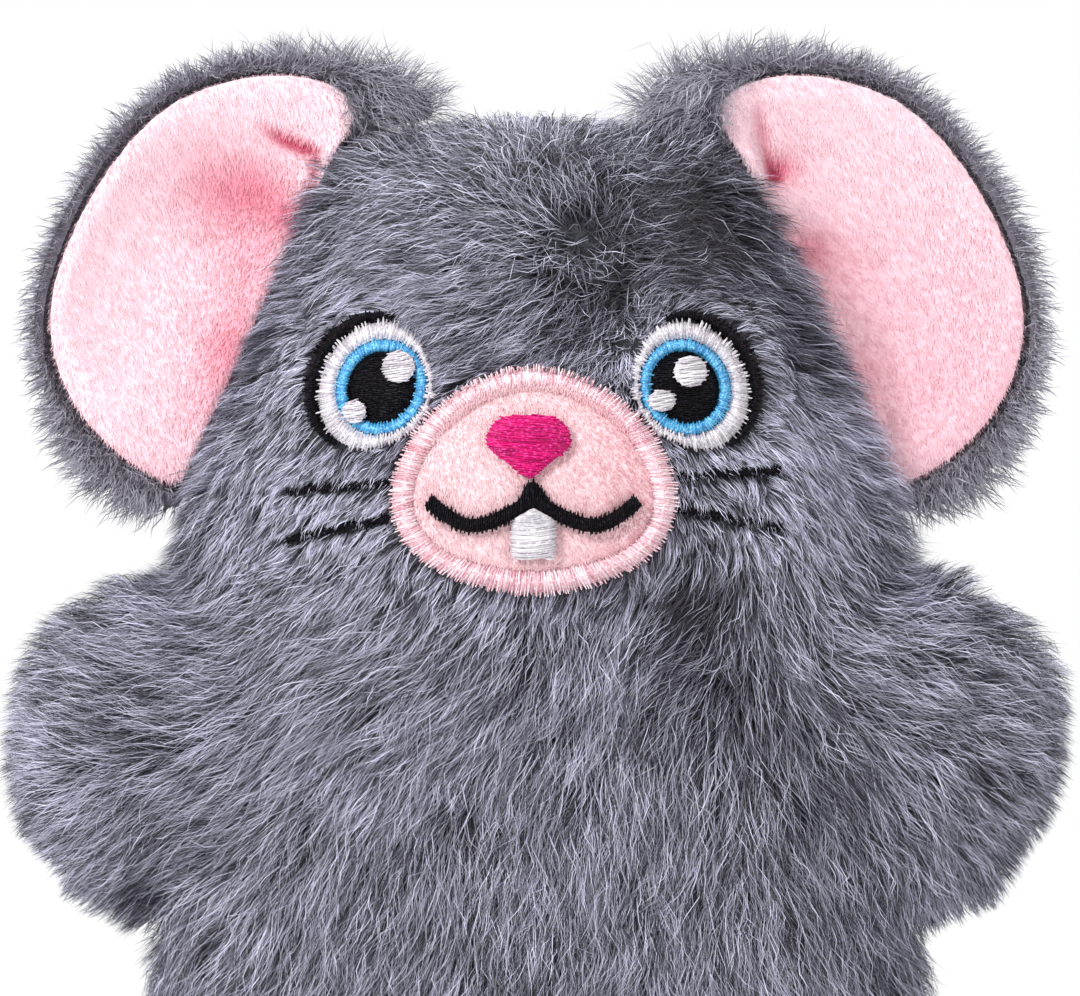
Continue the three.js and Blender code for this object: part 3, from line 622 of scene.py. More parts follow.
def gathered(paths, spacing, strength, random):
    """Draws the tips of neighbouring fibres together into locks."""
    roots = paths[:, 0]
    cells = np.unique((roots / spacing).astype(int), axis=0)
    guides = random.choice(len(roots), len(cells), replace=False)
    tree = searchable(roots[guides])
    nearest = np.array([tree.find(root)[1] for root in roots])
    lead = paths[guides[nearest]]
    pull = strength * random.uniform(0.4, 1, len(guides))[nearest]
    share = (np.arange(paths.shape[1]) / (paths.shape[1] - 1)) ** 1.3
    return paths + (lead - paths) * (pull[:, None] * share)[..., None], nearest


def ribbons(name, paths, outward, width, tone, random, roll=0.9, begun=0.0):
    """One mesh of tapering ribbons along paths, with their tone and length in its UV map.
    Begun is the share of a fibre's length that is taken as already past at its root."""
    count, knots_each = paths.shape[:2]
    steps = knots_each - 1
    along = unit(np.gradient(paths, axis=1))
    side = unit(np.cross(along, outward))
    over = np.cross(side, along)
    angle = random.uniform(-roll, roll, (count, 1, 1))
    across = side * np.cos(angle) + over * np.sin(angle)
    share = np.arange(steps) / steps
    half = width[:, None] * (1 - 0.55 * share ** 2)[None, :] / 2
    left = paths[:, :-1] - across[:, :-1] * half[..., None]
    right = paths[:, :-1] + across[:, :-1] * half[..., None]
    points = np.stack([left, right], 2).reshape(count, -1, 3)
    points = np.concatenate([points, paths[:, -1:]], 1)
    each = points.shape[1]
    pattern, starts = [], []
    for index in range(steps - 1):
        starts.append(len(pattern))
        pattern += [2 * index, 2 * index + 1, 2 * index + 3, 2 * index + 2]
    starts.append(len(pattern))
    pattern += [2 * steps - 2, 2 * steps - 1, 2 * steps]
    pattern = np.array(pattern)
    corners = (np.arange(count)[:, None] * each + pattern).ravel()
    mesh = bpy.data.meshes.new(name)
    mesh.vertices.add(count * each)
    mesh.vertices.foreach_set("co", points.ravel())
    mesh.loops.add(len(corners))
    mesh.loops.foreach_set("vertex_index", corners)
    mesh.polygons.add(count * len(starts))
    loop_starts = np.arange(count)[:, None] * len(pattern) + np.array(starts)
    mesh.polygons.foreach_set("loop_start", loop_starts.ravel())
    slot_width = 1 / tone_bins
    bins = np.clip((tone * tone_bins).astype(int), 0, tone_bins - 1)
    u = np.concatenate([np.tile([0.15, 0.85], steps), [0.5]])
    v = np.concatenate([np.repeat(share, 2), [1]])
    u = (bins[:, None] + u[None, :]) * slot_width
    begun = np.broadcast_to(begun, count)[:, None]
    v = (begun + (1 - begun) * v) * 0.98 + 0.01
    uv = np.stack([u, v], -1)[:, pattern].reshape(-1, 2)
    layer = mesh.uv_layers.new(name="OFBake")
    layer.data.foreach_set("uv", uv.ravel())
    mesh.update(calc_edges=True)
    return new_piece(name, mesh)


def fibre_group():
    """Colour along a fibre: its own tone, and painted shade towards the root, deep in the pile."""
    group, given = shader_group(
        "Fibre colour",
        {"Dark fibre": "Color", "Pale fibre": "Color", "Root": "Color", "Root reach": "Float"},
        {"Colour": "Color"},
    )
    uv = outputs_of(group, "UVMap", uv_map="OFBake")["UV"]
    split = outputs_of(group, "SeparateXYZ", {"Vector": uv})
    tone = blended(group, split["X"], given["Dark fibre"], given["Pale fibre"])
    reach = {"Value": split["Y"], "From Max": given["Root reach"]}
    along = outputs_of(group, "MapRange", reach, interpolation_type="SMOOTHSTEP")["Result"]
    colour = blended(group, along, given["Root"], tone)
    feed(group, group.nodes.new("NodeGroupOutput"), {"Colour": colour})
    return group


fibre_colour = fibre_group()


def fibre_material(name, dark, pale, root, root_shade_reach, roughness, shine, sheen=0.0):
    material, tree, shader = principled(name, {
        "Roughness": roughness, "Specular IOR Level": shine, "Sheen Weight": sheen,
        "Sheen Roughness": 0.4,
    })
    colours = {"Dark fibre": (*dark, 1), "Pale fibre": (*pale, 1), "Root": (*root, 1)}
    inputs = {**colours, "Root reach": root_shade_reach}
    colour = outputs_of(tree, "Group", inputs, node_tree=fibre_colour)["Colour"]
    feed(tree, shader, {"Base Color": colour})
    return material


# The fur's fibres fade to a near-black root colour: painted shade deep in the pile
fur_material = fibre_material(
    "grey_fur", dark=(0.022, 0.019, 0.028), pale=(0.74, 0.735, 0.92), root=(0.014, 0.012, 0.018),
    root_shade_reach=0.72, roughness=0.45, shine=0.25, sheen=0.03,
)

fur_random = np.random.default_rng(7)


def fineness(places):
    """1 at the front of the head, chest and arms, and 0 at the back and below."""
    front = smooth_share(0.5 - places[:, 1] / (16 * MM))
    return front * smooth_share((places[:, 2] - 40 * MM) / (10 * MM))


def fur_density(places, facing):
    """Fibres a square metre: thickest on the face, thinner at the back and underneath."""
    fine = fineness(places)
    body, head = mixed(*body_densities, fine), mixed(*head_densities, fine)
    under = (places[:, 2] < sole_height) & (unit(facing)[:, 2] < -0.5)
    return np.where(under, sole_density, mixed(body, head, head_shares(places))) / MM ** 2


def sewn_line(ear):
    """Where the line on which an ear is sewn on starts, and its direction upwards."""
    joint = next(j for j in frame["joints"] if j["child"] == ear)
    axis = unit(np.array(joint["axis"], float))
    return np.array(joint["pos_m"]), axis * np.sign(axis[2])


def beside_ears(places):
    """1 on the head's sides next to the line where the ears are sewn on, and 0 away from it."""
    apart = np.full(len(places), np.inf)
    for ear in ("right_ear", "left_ear"):
        start, axis = sewn_line(ear)
        along = np.clip((places - start) @ axis, 0, 44 * MM)
        to_line = places - start - along[:, None] * axis
        apart = np.minimum(apart, np.linalg.norm(to_line, axis=1))
    return smooth_share(1.6 - apart / (8 * MM))


roots = scattered(skin_triangles, fur_density, fur_random)
roots = roots[~under_stitching(roots)]
count = len(roots)
shares = pile_shares(roots)
head_share = head_shares(roots)
by_ear = beside_ears(roots) * smooth_share(0.7 - roots[:, 1] / (8 * MM))
at_roots = sampled(fur_grid, roots)
tangled = at_roots[:, 8]
root_normals = unit(at_roots[:, 1:4])
# The pile stands up at the ends of the limbs
standing = 0.8 * smooth_share(((root_normals * unit(at_roots[:, 4:7])).sum(1) - 0.25) / 0.75)
standing *= smooth_share((np.abs(roots[:, 0]) - 36 * MM) / (6 * MM))
standing *= smooth_share(1.4 - roots[:, 1] / (12 * MM))
# How long each fibre is
on_arms = smooth_share((np.abs(roots[:, 0]) - 38 * MM) / (8 * MM)) * (roots[:, 2] > 50 * MM)
uneven = fur_random.uniform(*uneven_lengths, count)
fibre_length = mixed(body_fibre_length, head_fibre_length, head_share) * uneven
overlaps_ear = (roots[:, 0] > 0) | (roots[:, 2] > 131 * MM)
fibre_length *= 1 + np.where(overlaps_ear, ear_overlap, 0.0) * by_ear
fibre_length *= (1 - arms_shorter * on_arms) * (1 - standing_shorter * standing)
fibre_length = mixed(clipped_fibre_length * uneven, fibre_length, shares)
# How high its tip stands over the backing: higher at the outline and beside the ears
fibre_lift = mixed(body_lift, head_lift, head_share) * fur_random.normal(0.95, 0.25, count)
fibre_lift *= 1 + 0.35 * patchy(roots, 6 * MM, 4)
sideways = np.abs(root_normals[:, 1])
fibre_lift += mixed(1.5, 1.2, head_share) * MM * smooth_share(1.5 - sideways / 0.35)
for x, z, radius, lift in fluffed_spots:
    fibre_lift += lift * MM * spot(roots, x, z, radius)
at_ear_top = smooth_share(roots[:, 2] / (8 * MM) - 16.5)
ear_lift = np.where(roots[:, 0] > 0, 4.5, 2.5) + 2 * at_ear_top
fibre_lift = mixed(clipped_lift, fibre_lift, shares) + ear_lift * MM * by_ear
# Each fibre's path, drawn into locks
guard_hair = fur_random.random(count) < guard_hairs
fibre_lift[guard_hair] += guard_rise
wander = np.where(guard_hair, guard_wander, plain_wander) + tangled_wander * tangled
paths = combed(roots, fibre_length, fibre_lift, standing[:, None], wander, fur_random)
paths, coarse_lock = gathered(paths, coarse_lock_size, 0.5 - 0.4 * standing, fur_random)
draw = np.where(guard_hair, 0.1, 0.8) * (1 - 0.6 * standing)
paths, fine_lock = gathered(paths, fine_lock_size, draw, fur_random)


def crimped(paths, outward, amplitude, random):
    """Gives each fibre a slight wave of its own."""
    share = np.linspace(0, 1, paths.shape[1])
    phase = random.uniform(0, 2 * math.pi, (len(paths), 1))
    turns = random.uniform(0.6, 1.5, (len(paths), 1)) * 2 * math.pi
    swing = amplitude[:, None] * share * np.sin(phase + turns * share)
    side = unit(np.cross(np.gradient(paths, axis=1), outward))
    return paths + side * swing[..., None]


def woven(paths, outward, amplitude, random):
    """Lets each fibre dive under its neighbours and come up again."""
    swing = random.normal(0, 1, paths.shape[:2]) * amplitude[:, None]
    swing[:, 0] = 0
    return paths + outward * swing[..., None]


def kinked(paths, least):
    """Whether a fibre turns sharply anywhere."""
    ways = unit(np.diff(paths, axis=1))
    return (dots(ways[:, 1:], ways[:, :-1])[..., 0] < least).any(axis=1)


def outward_at(paths):
    return unit(sampled(fur_grid, paths.reshape(-1, 3))[:, 1:4]).reshape(paths.shape)


def cut_at_stitching(paths, overhang, random):
    """Ends the fibres that would lie over the stitching just past its edge."""
    near = (paths[:, 0, 1] < face_front) & (paths[:, :, 2].max(1) > face_bottom)
    steps = paths.shape[1] - 1
    kept = np.ones(len(paths))
    for index in np.flatnonzero(near):
        for knot in range(1, steps + 1):
            x, _, z = paths[index, knot]
            if behind_stitching(x, z):
                kept[index] = (knot - 0.5) / steps
                break
    length = np.linalg.norm(np.diff(paths, axis=1), axis=2).sum(1)
    kept = np.where(kept < 1, kept + overhang * random.uniform(0, 1, len(paths)) / length, kept)
    return resampled(paths, steps, kept)


def resampled(paths, steps, kept=None):
    """The first share of each path, through so many equal steps."""
    share = np.ones(len(paths)) if kept is None else np.clip(kept, 0.05, 1)
    at = share[:, None] * np.linspace(0, 1, steps + 1) * (paths.shape[1] - 1)
    low = np.clip(at.astype(int), 0, paths.shape[1] - 2)
    row = np.arange(len(paths))[:, None]
    return mixed(paths[row, low], paths[row, low + 1], (at - low)[..., None])


def above_floor(paths, random):
    least = random.uniform(0.1, 0.9, (len(paths), 1)) * MM
    paths[..., 2] = np.maximum(paths[..., 2], least)
    return paths


paths = crimped(paths, outward_at(paths), crimp * fibre_length, fur_random)
# How far each fibre lies over the stitching
overhang = usual_overhang + muzzle_overhang * spot(roots, *muzzle_tuft)
by_whiskers = flat_distance(roots, whisker_nodes)
overhang += whisker_overhang * smooth_share(2 - by_whiskers / (2 * MM))
overhang = np.where(fur_random.random(count) < stray_hairs, stray_overhang, overhang)
paths = above_floor(cut_at_stitching(paths, overhang, fur_random), fur_random)


def lock_tones(locks, spread, random):
    return random.normal(0, spread, locks.max() + 1)[locks]


# How pale each fibre is
draws = fur_random.random(count)
under_hair = draws < under_hairs + lock_tones(fine_lock, under_hair_spread, fur_random)
tone = np.where(guard_hair, guard_tone, np.where(under_hair, under_tone, plain_tone))
tone += fur_random.normal(0, fibre_spread, count) + 0.08 * (1 - shares)
tone += (
    lock_tones(coarse_lock, coarse_lock_spread, fur_random)
    + lock_tones(fine_lock, fine_lock_spread, fur_random)
)
# Random patches of tone, and painted shade where the fur is tangled
tone += 0.07 * patchy(roots, 11 * MM, 3) - 0.08 * tangled
for x, z, radius, paler in tone_spots:
    tone += paler * spot(roots, x, z, radius) * (roots[:, 1] < 0)
# The fur of a limb is one piece. That of the head and that of the torso are several.
part_of = np.array([nearest_part(root) for root in roots])
middle_y = (cad_low.y + cad_high.y) / 2
is_front = roots[:, 1] < middle_y
is_right = roots[:, 0] < 0
parts = list(skin_nodes)
on_head = part_of == parts.index("head")
on_torso = part_of == parts.index("torso")
upper = roots[:, 2] > 48 * MM
fur_patches = {
    "right_face_fur": on_head & is_front & is_right,
    "left_face_fur": on_head & is_front & ~is_right,
    "head_back_fur": on_head & ~is_front,
    "right_chest_fur": on_torso & is_front & upper & is_right,
    "left_chest_fur": on_torso & is_front & upper & ~is_right,
    "right_belly_fur": on_torso & is_front & ~upper & is_right,
    "left_belly_fur": on_torso & is_front & ~upper & ~is_right,
    "upper_back_fur": on_torso & ~is_front & upper,
    "lower_back_fur": on_torso & ~is_front & ~upper,
    **{f"{part}_fur": part_of == parts.index(part) for part in parts[2:]},
}
combed_well = ~kinked(resampled(paths, 3), 0.3)
for name, chosen in fur_patches.items():
    chosen = chosen & combed_well
    patch = resampled(paths[chosen], 4 if "chest" in name or "arm" in name else 3)
    width = mixed(coarse_fibre_width, fibre_width, fineness(roots[chosen]))
    width = width * fur_random.uniform(0.75, 1.2, len(patch))
    outward = outward_at(patch)
    weave = weaving * fibre_length[chosen] * shares[chosen] * (1 - standing[chosen])
    patch = above_floor(woven(patch, outward, weave, fur_random), fur_random)
    begun = np.maximum(0.45 * (1 - shares), 0.5 * standing)[chosen]
    fur = ribbons(name, patch, outward, width, tone[chosen], fur_random, begun=begun)
    fur.data.materials.append(fur_material)
    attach(fur, "body")

# Ears
# Each ear is a flap: a back of the same plush, whose pile stands out round the edge, and a
# lining of short pink velour, dished, with a pleat at its upper inner corner. The flap is
# sewn flat to the side of the head, so it folds about that line.


def srgb(red, green, blue):
    """A colour seen in the photograph, as the shaders want it."""
    return tuple(((c / 255 + 0.055) / 1.055) ** 2.4 for c in (red, green, blue))


ear_fibre_length = 4.4 * MM
ear_pile_depth = 1.4 * MM
ear_fur_density = 17 / MM ** 2
ear_back_density = 4.5 / MM ** 2
velour_pile_length = 0.8 * MM
velour_fibre_width = 0.11 * MM
velour_density = 17 / MM ** 2
ear_pale = srgb(253, 228, 236)
ear_grain_and_shade_pink = srgb(216, 88, 122)
# The pleat runs along these places, seen from the front: x, height (mm) and how deep it is pressed
# in and painted with shade
pleats = {
    "right_ear": [
        (-30.6, 145.2, 0.25), (-28.6, 143.9, 0.85), (-26.4, 142.9, 1), (-24.8, 142.4, 0.95),
        (-24.9, 139.2, 0.6), (-25.5, 136.3, 0.85), (-26.6, 133.6, 0.6),
    ],
    "left_ear": [(24.9, 147, 0.3), (25.3, 143.5, 0.5), (25.7, 141.6, 0.65), (26.6, 139.5, 0.85)],
}
rim_reach = 22 * MM  # from the sewn line out to the rim
head_reach, head_height = 2 * MM, 27 * MM  # of the part of an ear that lies on the head
under_reach, over_reach = 12 * MM, 9 * MM  # what counts as behind or in front of the lining
pleat_width = 0.9 * MM
pleat_depth = 1.5 * MM
hollow_depth = 0.8 * MM
# How much shorter the fur is at the outer rim, and how much paler the lobe is painted where it
# hangs down: painted light on the left ear's lobe
rim_shares = {"right_ear": 0.58, "left_ear": 0.68}
lobe_painted_light = {"right_ear": 0, "left_ear": 0.35}
ear_droop = np.array([0, 0, -0.25])
# Soft hollows pressed into the lining and painted with shade, and flaps that stand up and take
# painted shade away where the strength is negative: x, height, radius (mm), strength
hollows = {
    "right_ear": [
        (-36, 138.5, 5, 0.5), (-30.5, 138, 4, 0.45), (-27.5, 134.8, 2.2, 0.5),
        (-31, 129, 7, 0.42), (-43, 97, 11, 0.36), (-34.3, 120.5, 4, 0.5), (-35, 114, 5, 0.4),
        (-21.8, 142, 2.6, -1), (-22.8, 137.5, 1.6, -0.8),
    ],
    "left_ear": [
        (27.3, 140.4, 1.5, 0.5), (28.6, 141, 2.8, 0.25), (30.4, 131.5, 2.6, 0.45),
        (33.5, 129, 4.5, 0.2), (34, 117, 3.5, 0.3), (45, 116, 18, 0.24), (23.6, 141, 2, -0.8),
    ],
}


def velour_material(name, pale, deep, grain):
    material, tree, shader = principled(name, {"Roughness": 0.85, "Sheen Weight": 0.4})
    mask = grained(tree, shader, grain, grain / 4, 2)
    # The cloth is painted deeper pink as painted shade in its creases, and a little in its grain
    crease_shade = outputs_of(tree, "Attribute", attribute_name="crease_shade")["Fac"]
    inputs = {0: mask, 1: 0.14, 2: crease_shade}
    depth = outputs_of(tree, "Math", inputs, operation="MULTIPLY_ADD", use_clamp=True)["Value"]
    feed(tree, shader, {"Base Color": blended(tree, depth, (*pale, 1), (*deep, 1))})
    return material


def crease_shade_attribute(mesh, values):
    attribute = mesh.attributes.new("crease_shade", "FLOAT", "POINT")
    attribute.data.foreach_set("value", values.astype(np.float32))


def folded(places, line):
    """How deep a pleat is at some places, for a line of straight runs seen from the front."""
    deepest = np.zeros(len(places))
    line = np.array(line)
    for start, end in zip(line[:-1], line[1:]):
        run = (end - start)[:2] * MM
        from_start = places - start[:2] * MM
        share = np.clip((from_start @ run) / (run @ run), 0, 1)
        apart = np.linalg.norm(from_start - share[:, None] * run, axis=1)
        depth = mixed(start[2], end[2], share) * np.exp(-((apart / pleat_width) ** 2))
        deepest = np.maximum(deepest, depth)
    return deepest


def grown(roots, heading, bend, length, steps):
    """Paths that leave their roots one way and bend over towards another."""
    place = roots.copy()
    path = [place]
    for index in range(steps):
        share = index / steps
        place = place + unit(mixed(heading, bend, share)) * (length / steps)[:, None]
        path.append(place)
    return np.stack(path, 1)


def triangle_normals(corners):
    return unit(np.cross(corners[:, 1] - corners[:, 0], corners[:, 2] - corners[:, 0]))


def surface_normals(tree, places):
    return np.array([tree.find_nearest(place)[1] for place in places])


def meets(tree, starts, way, reach):
    """Which straight looks from some places meet a surface."""
    found = [tree.ray_cast(Vector(start), Vector(way), reach)[0] for start in starts]
    return np.array([place is not None for place in found])


def evenly(corners, density, random):
    return scattered(corners, lambda places, _: np.full(len(places), density), random)


def pile(name, roots, tree, lean, tone_at, material, length, random):
    """Short pile on a stretch of cloth, leaning one way."""
    normals = surface_normals(tree, roots)
    heading = unit(0.7 * normals + lean + random.normal(0, 0.07, roots.shape))
    bend = unit(0.25 * normals + lean + random.normal(0, 0.07, roots.shape))
    lengths = length * random.uniform(0.75, 1.05, len(roots))
    paths = grown(roots - 0.1 * MM * normals, heading, bend, lengths, 2)
    width = velour_fibre_width * random.uniform(0.7, 1.2, len(roots))
    outward = np.repeat(normals[:, None], 3, 1)
    tone = np.clip(tone_at(roots) + random.normal(0, 0.03, len(roots)), 0, 1)
    made = ribbons(name, paths, outward, width, tone, random, roll=0.2)
    made.data.materials.append(material)
    return made


ear_fur = fibre_material(
    "ear_fur", dark=(0.1, 0.092, 0.115), pale=(0.55, 0.54, 0.63), root=(0.15, 0.138, 0.165),
    root_shade_reach=0.4, roughness=0.5, shine=0.4, sheen=0.1,
)
ear_cloth = velour_material("ear_velour", ear_pale, ear_grain_and_shade_pink, 0.5 * MM)
ear_pile = fibre_material(
    "ear_velour_pile", dark=ear_grain_and_shade_pink, pale=srgb(255, 234, 240), root=srgb(249, 212, 221),
    root_shade_reach=0.5, roughness=0.8, shine=0.08,
)
# The ear's backing is painted dark, as painted shade under its fur
ear_backing = backing_material("ear_backing", (0.13, 0.12, 0.15))

for side in ("right", "left"):
    ear = f"{side}_ear"
    random = np.random.default_rng(20 + len(side))
    lining_points = points_of(frame["nodes"][f"{ear}_lining"].data)
    centre = lining_points.mean(0)
    lining_tree = tree_of([f"{ear}_lining"])
    sewn_from, sewn_way = sewn_line(ear)
    ear_front = np.cross(sewn_way, centre - sewn_from)
    ear_front = unit(ear_front * np.sign(-ear_front[1]))
    ear_out = np.cross(sewn_way, ear_front)
    ear_out *= np.sign(ear_out @ (centre - sewn_from))

    # Its backing
    skin = joined_copy(f"{ear}_skin", [f"{ear}_back"])
    remeshed(skin, 0.9 * MM, 3)
    set_points(skin.data, points_of(skin.data) - normals_of(skin.data) * ear_pile_depth)
    skin.data.materials.append(ear_backing)
    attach(skin, ear)
    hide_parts(f"{ear}_back")

    # Its fur, which grows neither under the lining nor against the head
    ear_tree = surface_of(skin)

    def ear_density(_, facing):
        return np.where(unit(facing) @ ear_front < -0.5, ear_back_density, ear_fur_density)

    roots = scattered(triangles_of(skin.data), ear_density, random)
    normals = surface_normals(ear_tree, roots)
    behind = normals @ ear_front < -0.5
    starts = [Vector(root) + Vector(normal) * 0.2 * MM for root, normal in zip(roots, normals)]
    under_lining = meets(lining_tree, starts, ear_front, under_reach)
    by_head = ((roots - sewn_from) @ ear_out < head_reach) & (normals @ ear_front > -0.4)
    by_head &= (roots - sewn_from) @ sewn_way < head_height
    kept = behind | ~(under_lining | by_head)
    roots, normals, behind = roots[kept], normals[kept], behind[kept]
    spoke = roots - centre
    spoke = unit(spoke - dots(spoke, ear_front) * ear_front)
    away = 0.45 * spoke + 0.8 * ear_out + ear_droop
    away = unit(away - dots(away, normals) * normals)
    spoke = np.where(behind[:, None], away, spoke)
    backwards = smooth_share(-dots(normals, ear_front) / 0.8)
    ruffle = random.normal(0, 0.24, roots.shape)
    upright = np.where(behind, 0.4, 0.9)[:, None]
    heading = unit(upright * normals + (1.4 - upright) * spoke + ruffle)
    bend = unit(0.25 * normals + spoke + ear_droop * backwards + ruffle)
    outwards = (roots - sewn_from) @ ear_out
    lengths = ear_fibre_length * random.uniform(0.5, 1.05, len(roots))
    lengths *= mixed(1.1, rim_shares[ear], smooth_share(outwards / rim_reach))
    lengths *= np.where(behind, 1.5, 1)
    # The pile of the lobe hangs down on the head beside it
    lobe = smooth_share(((roots - sewn_from) @ sewn_way) / (6 * MM) - 3.7)
    lobe *= smooth_share(1 - outwards / (9 * MM)) * smooth_share(0.9 - normals[:, 2] / 0.5)
    hanging = unit(0.3 * ear_front - 0.7 * ear_out - np.array([0, 0, 0.7]))
    bend = unit(mixed(bend, hanging + ruffle, lobe[:, None]))
    lengths *= 1 + 0.7 * lobe
    paths = grown(roots, heading, bend, lengths, 6)
    outward = np.repeat(normals[:, None], paths.shape[1], 1)
    paths, locks = gathered(paths, 2 * MM, 0.3, random)
    paths = crimped(paths, outward, crimp * lengths, random)
    tone = 0.48 + random.normal(0, 0.2, len(roots)) + lock_tones(locks, 0.1, random)
    # Painted light: the left ear's lobe is painted paler
    tone += lobe * lobe_painted_light[ear]
    width = np.where(behind, coarse_fibre_width, fibre_width)
    width = width * random.uniform(0.7, 1.1, len(roots))
    # No fibre lies far over the lining
    middles, tips = (
        meets(lining_tree, paths[:, knot] + ear_front * MM, -ear_front, over_reach)
        for knot in (3, 6)
    )
    kept = ~kinked(paths, 0.7) & ~(middles & tips)
    patch = resampled(paths[kept], 3)
    fur = ribbons(f"{ear}_fur", patch, outward[kept, :4], width[kept], tone[kept], random)
    fur.data.materials.append(ear_fur)
    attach(fur, ear)

    # Its lining, pressed into pleats and hollows, with painted shade in them
    lining = joined_copy(f"{ear}_velour", [f"{ear}_lining"])
    remeshed(lining, 0.6 * MM, 3)
    places = points_of(lining.data)
    fold = folded(places[:, [0, 2]], pleats[ear])
    deep = 1.05 * fold
    push = pleat_depth * fold
    for x, z, radius, strength in hollows[ear]:
        hollow = strength * spot(places, x, z, radius)
        deep += hollow
        push += hollow_depth * hollow
    set_points(lining.data, places - ear_front * push[:, None])
    crease_shade_attribute(lining.data, np.clip(deep, 0, 1))
    lining.data.materials.append(ear_cloth)
    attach(lining, ear)
    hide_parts(f"{ear}_lining")

    # The pile of the lining, with painted shade where it is pressed in
    corners = triangles_of(lining.data)
    to_front = triangle_normals(corners) @ ear_front
    corners = corners[to_front > -0.3]
    new_tree = surface_of(lining)
    deep_tree = searchable(points_of(lining.data))

    def pink_painted_shade(roots):
        depth = np.array([deep[deep_tree.find(root)[1]] for root in roots])
        return 0.88 - 0.8 * np.clip(depth, 0, 1)

    lining_pile = pile(
        f"{ear}_velour_pile", evenly(corners, velour_density, random), new_tree, (0, 0, -0.5),
        pink_painted_shade, ear_pile, velour_pile_length, random,
    )
    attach(lining_pile, ear)

# Muzzle patch
# An oval of pale peach velour, laid on the plush and held by the satin border. The stitching
# of the nose, mouth and tooth pulls it down round itself.
patch_pale = srgb(243, 214, 218)
patch_grain_and_shade_pink = srgb(228, 154, 166)
patch_pile_length = 0.6 * MM
patch_pile_density = 25 / MM ** 2
patch_lean = (0, 0, -0.6)
pulled_width, pulled_depth = 1.1 * MM, 0.3 * MM
patch = joined_copy("muzzle_velour", ["muzzle_patch"])
remeshed(patch, 0.45 * MM, 3)
places = points_of(patch.data)
# Its edge lies under the border
middle = places.mean(0)
places[:, [0, 2]] = mixed(middle, places, 1.035)[:, [0, 2]]
pulled_by = ["muzzle_border", "nose", "mouth", "tooth"]
pulled = np.exp(-((flat_distance(places, pulled_by) / pulled_width) ** 2))
facing_front = normals_of(patch.data)[:, 1] < -0.3
places[:, 1] += pulled_depth * pulled * facing_front
set_points(patch.data, places)
# Painted shade where the stitching pulls the velour down
crease_shade_attribute(patch.data, 0.15 * pulled)
patch.data.materials.append(velour_material("muzzle_velour", patch_pale, patch_grain_and_shade_pink, 0.4 * MM))
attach(patch, "body")
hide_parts("muzzle_patch")

corners = triangles_of(patch.data)
corners = corners[triangle_normals(corners)[:, 1] < -0.3]
over_patch = tree_of(pulled_by)
corners = corners[[seen_at(over_patch, x, z) is None for x, _, z in corners.mean(1)]]
patch_fibre = fibre_material(
    "muzzle_velour_pile", dark=patch_grain_and_shade_pink, pale=srgb(238, 210, 214), root=srgb(233, 197, 203),
    root_shade_reach=0.5, roughness=0.8, shine=0.05,
)
patch_random = np.random.default_rng(31)


# Painted shade: the pile is painted darker towards +X, the side away from the key lamp
def patch_painted_shade(roots):
    return 0.85 - 0.5 * smooth_share(roots[:, 0] / (12 * MM))


patch_pile = pile(
    "muzzle_velour_pile", evenly(corners, patch_pile_density, patch_random), surface_of(patch),
    patch_lean, patch_painted_shade, patch_fibre, patch_pile_length, patch_random,
)
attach(patch_pile, "body")

# Embroidery
# The face is machine stitched in glossy polyester thread. A narrow form is satin stitch, with
# every thread laid straight across it. The nose and the pupils are filled in short rows, laid
# like bricks. The thread dives into the cloth at both ends, so each edge is ragged.
thread_pitch = 0.24 * MM
thread_radius = 0.14 * MM
stitch_dive = 0.4 * MM
row_dive = 0.16 * MM  # where one short stitch of a row meets the next
stitch_raggedness = 0.2 * MM
stitch_overlap = 0.12 * MM  # past the edge of the form, so that no cloth shows between two forms
underlay_depth = 0.12 * MM
thread_steps = 5
thread_sides = 5
probe_step = 0.12 * MM
shortest_stitch = 0.35 * MM
flecks_each = 9
brim_width = 0.9 * MM  # of the patch's pile that stands over the border at the top


def depth_at(tree, place):
    hit = seen_at(tree, *place)
    return None if hit is None else hit.y


def spans_along(tree, start, way, reach):
    """The stretches of a straight line that lie over a form, seen from the front."""
    spans, first, last = [], None, None
    for index in range(int(reach / probe_step)):
        place = start + way * index * probe_step
        if depth_at(tree, place) is None:
            if first is not None:
                spans.append((first, last))
            first = None
        else:
            first = place if first is None else first
            last = place
    if first is not None:
        spans.append((first, last))
    return [(a, b) for a, b in spans if np.linalg.norm(b - a) > shortest_stitch]


def flat_box(node):
    low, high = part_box(node)
    return np.array([low.x, low.z]), np.array([high.x, high.z])


def rows_across(node, degrees, pitch=thread_pitch):
    """Straight stitches across a form, side by side, all at one angle."""
    tree = tree_of([node])
    low, high = flat_box(node)
    middle, reach = (low + high) / 2, np.linalg.norm(high - low)
    angle = math.radians(degrees)
    way = np.array([math.cos(angle), math.sin(angle)])
    aside = np.array([-way[1], way[0]])
    spans = []
    for offset in np.arange(-reach / 2, reach / 2, pitch):
        spans += spans_along(tree, middle + aside * offset - way * reach / 2, way, reach)
    return spans


def spokes_across(node, centre, pitch=thread_pitch):
    """Stitches that point at a centre, all round a ring or part of one."""
    tree = tree_of([node])
    low, high = flat_box(node)
    reach = np.linalg.norm(high - low)
    count = int(2 * math.pi * (high - low).mean() / 2 / pitch)
    spans = []
    for index in range(count):
        angle = 2 * math.pi * index / count
        way = np.array([math.cos(angle), math.sin(angle)])
        spans += spans_along(tree, centre, way, reach)
    return spans


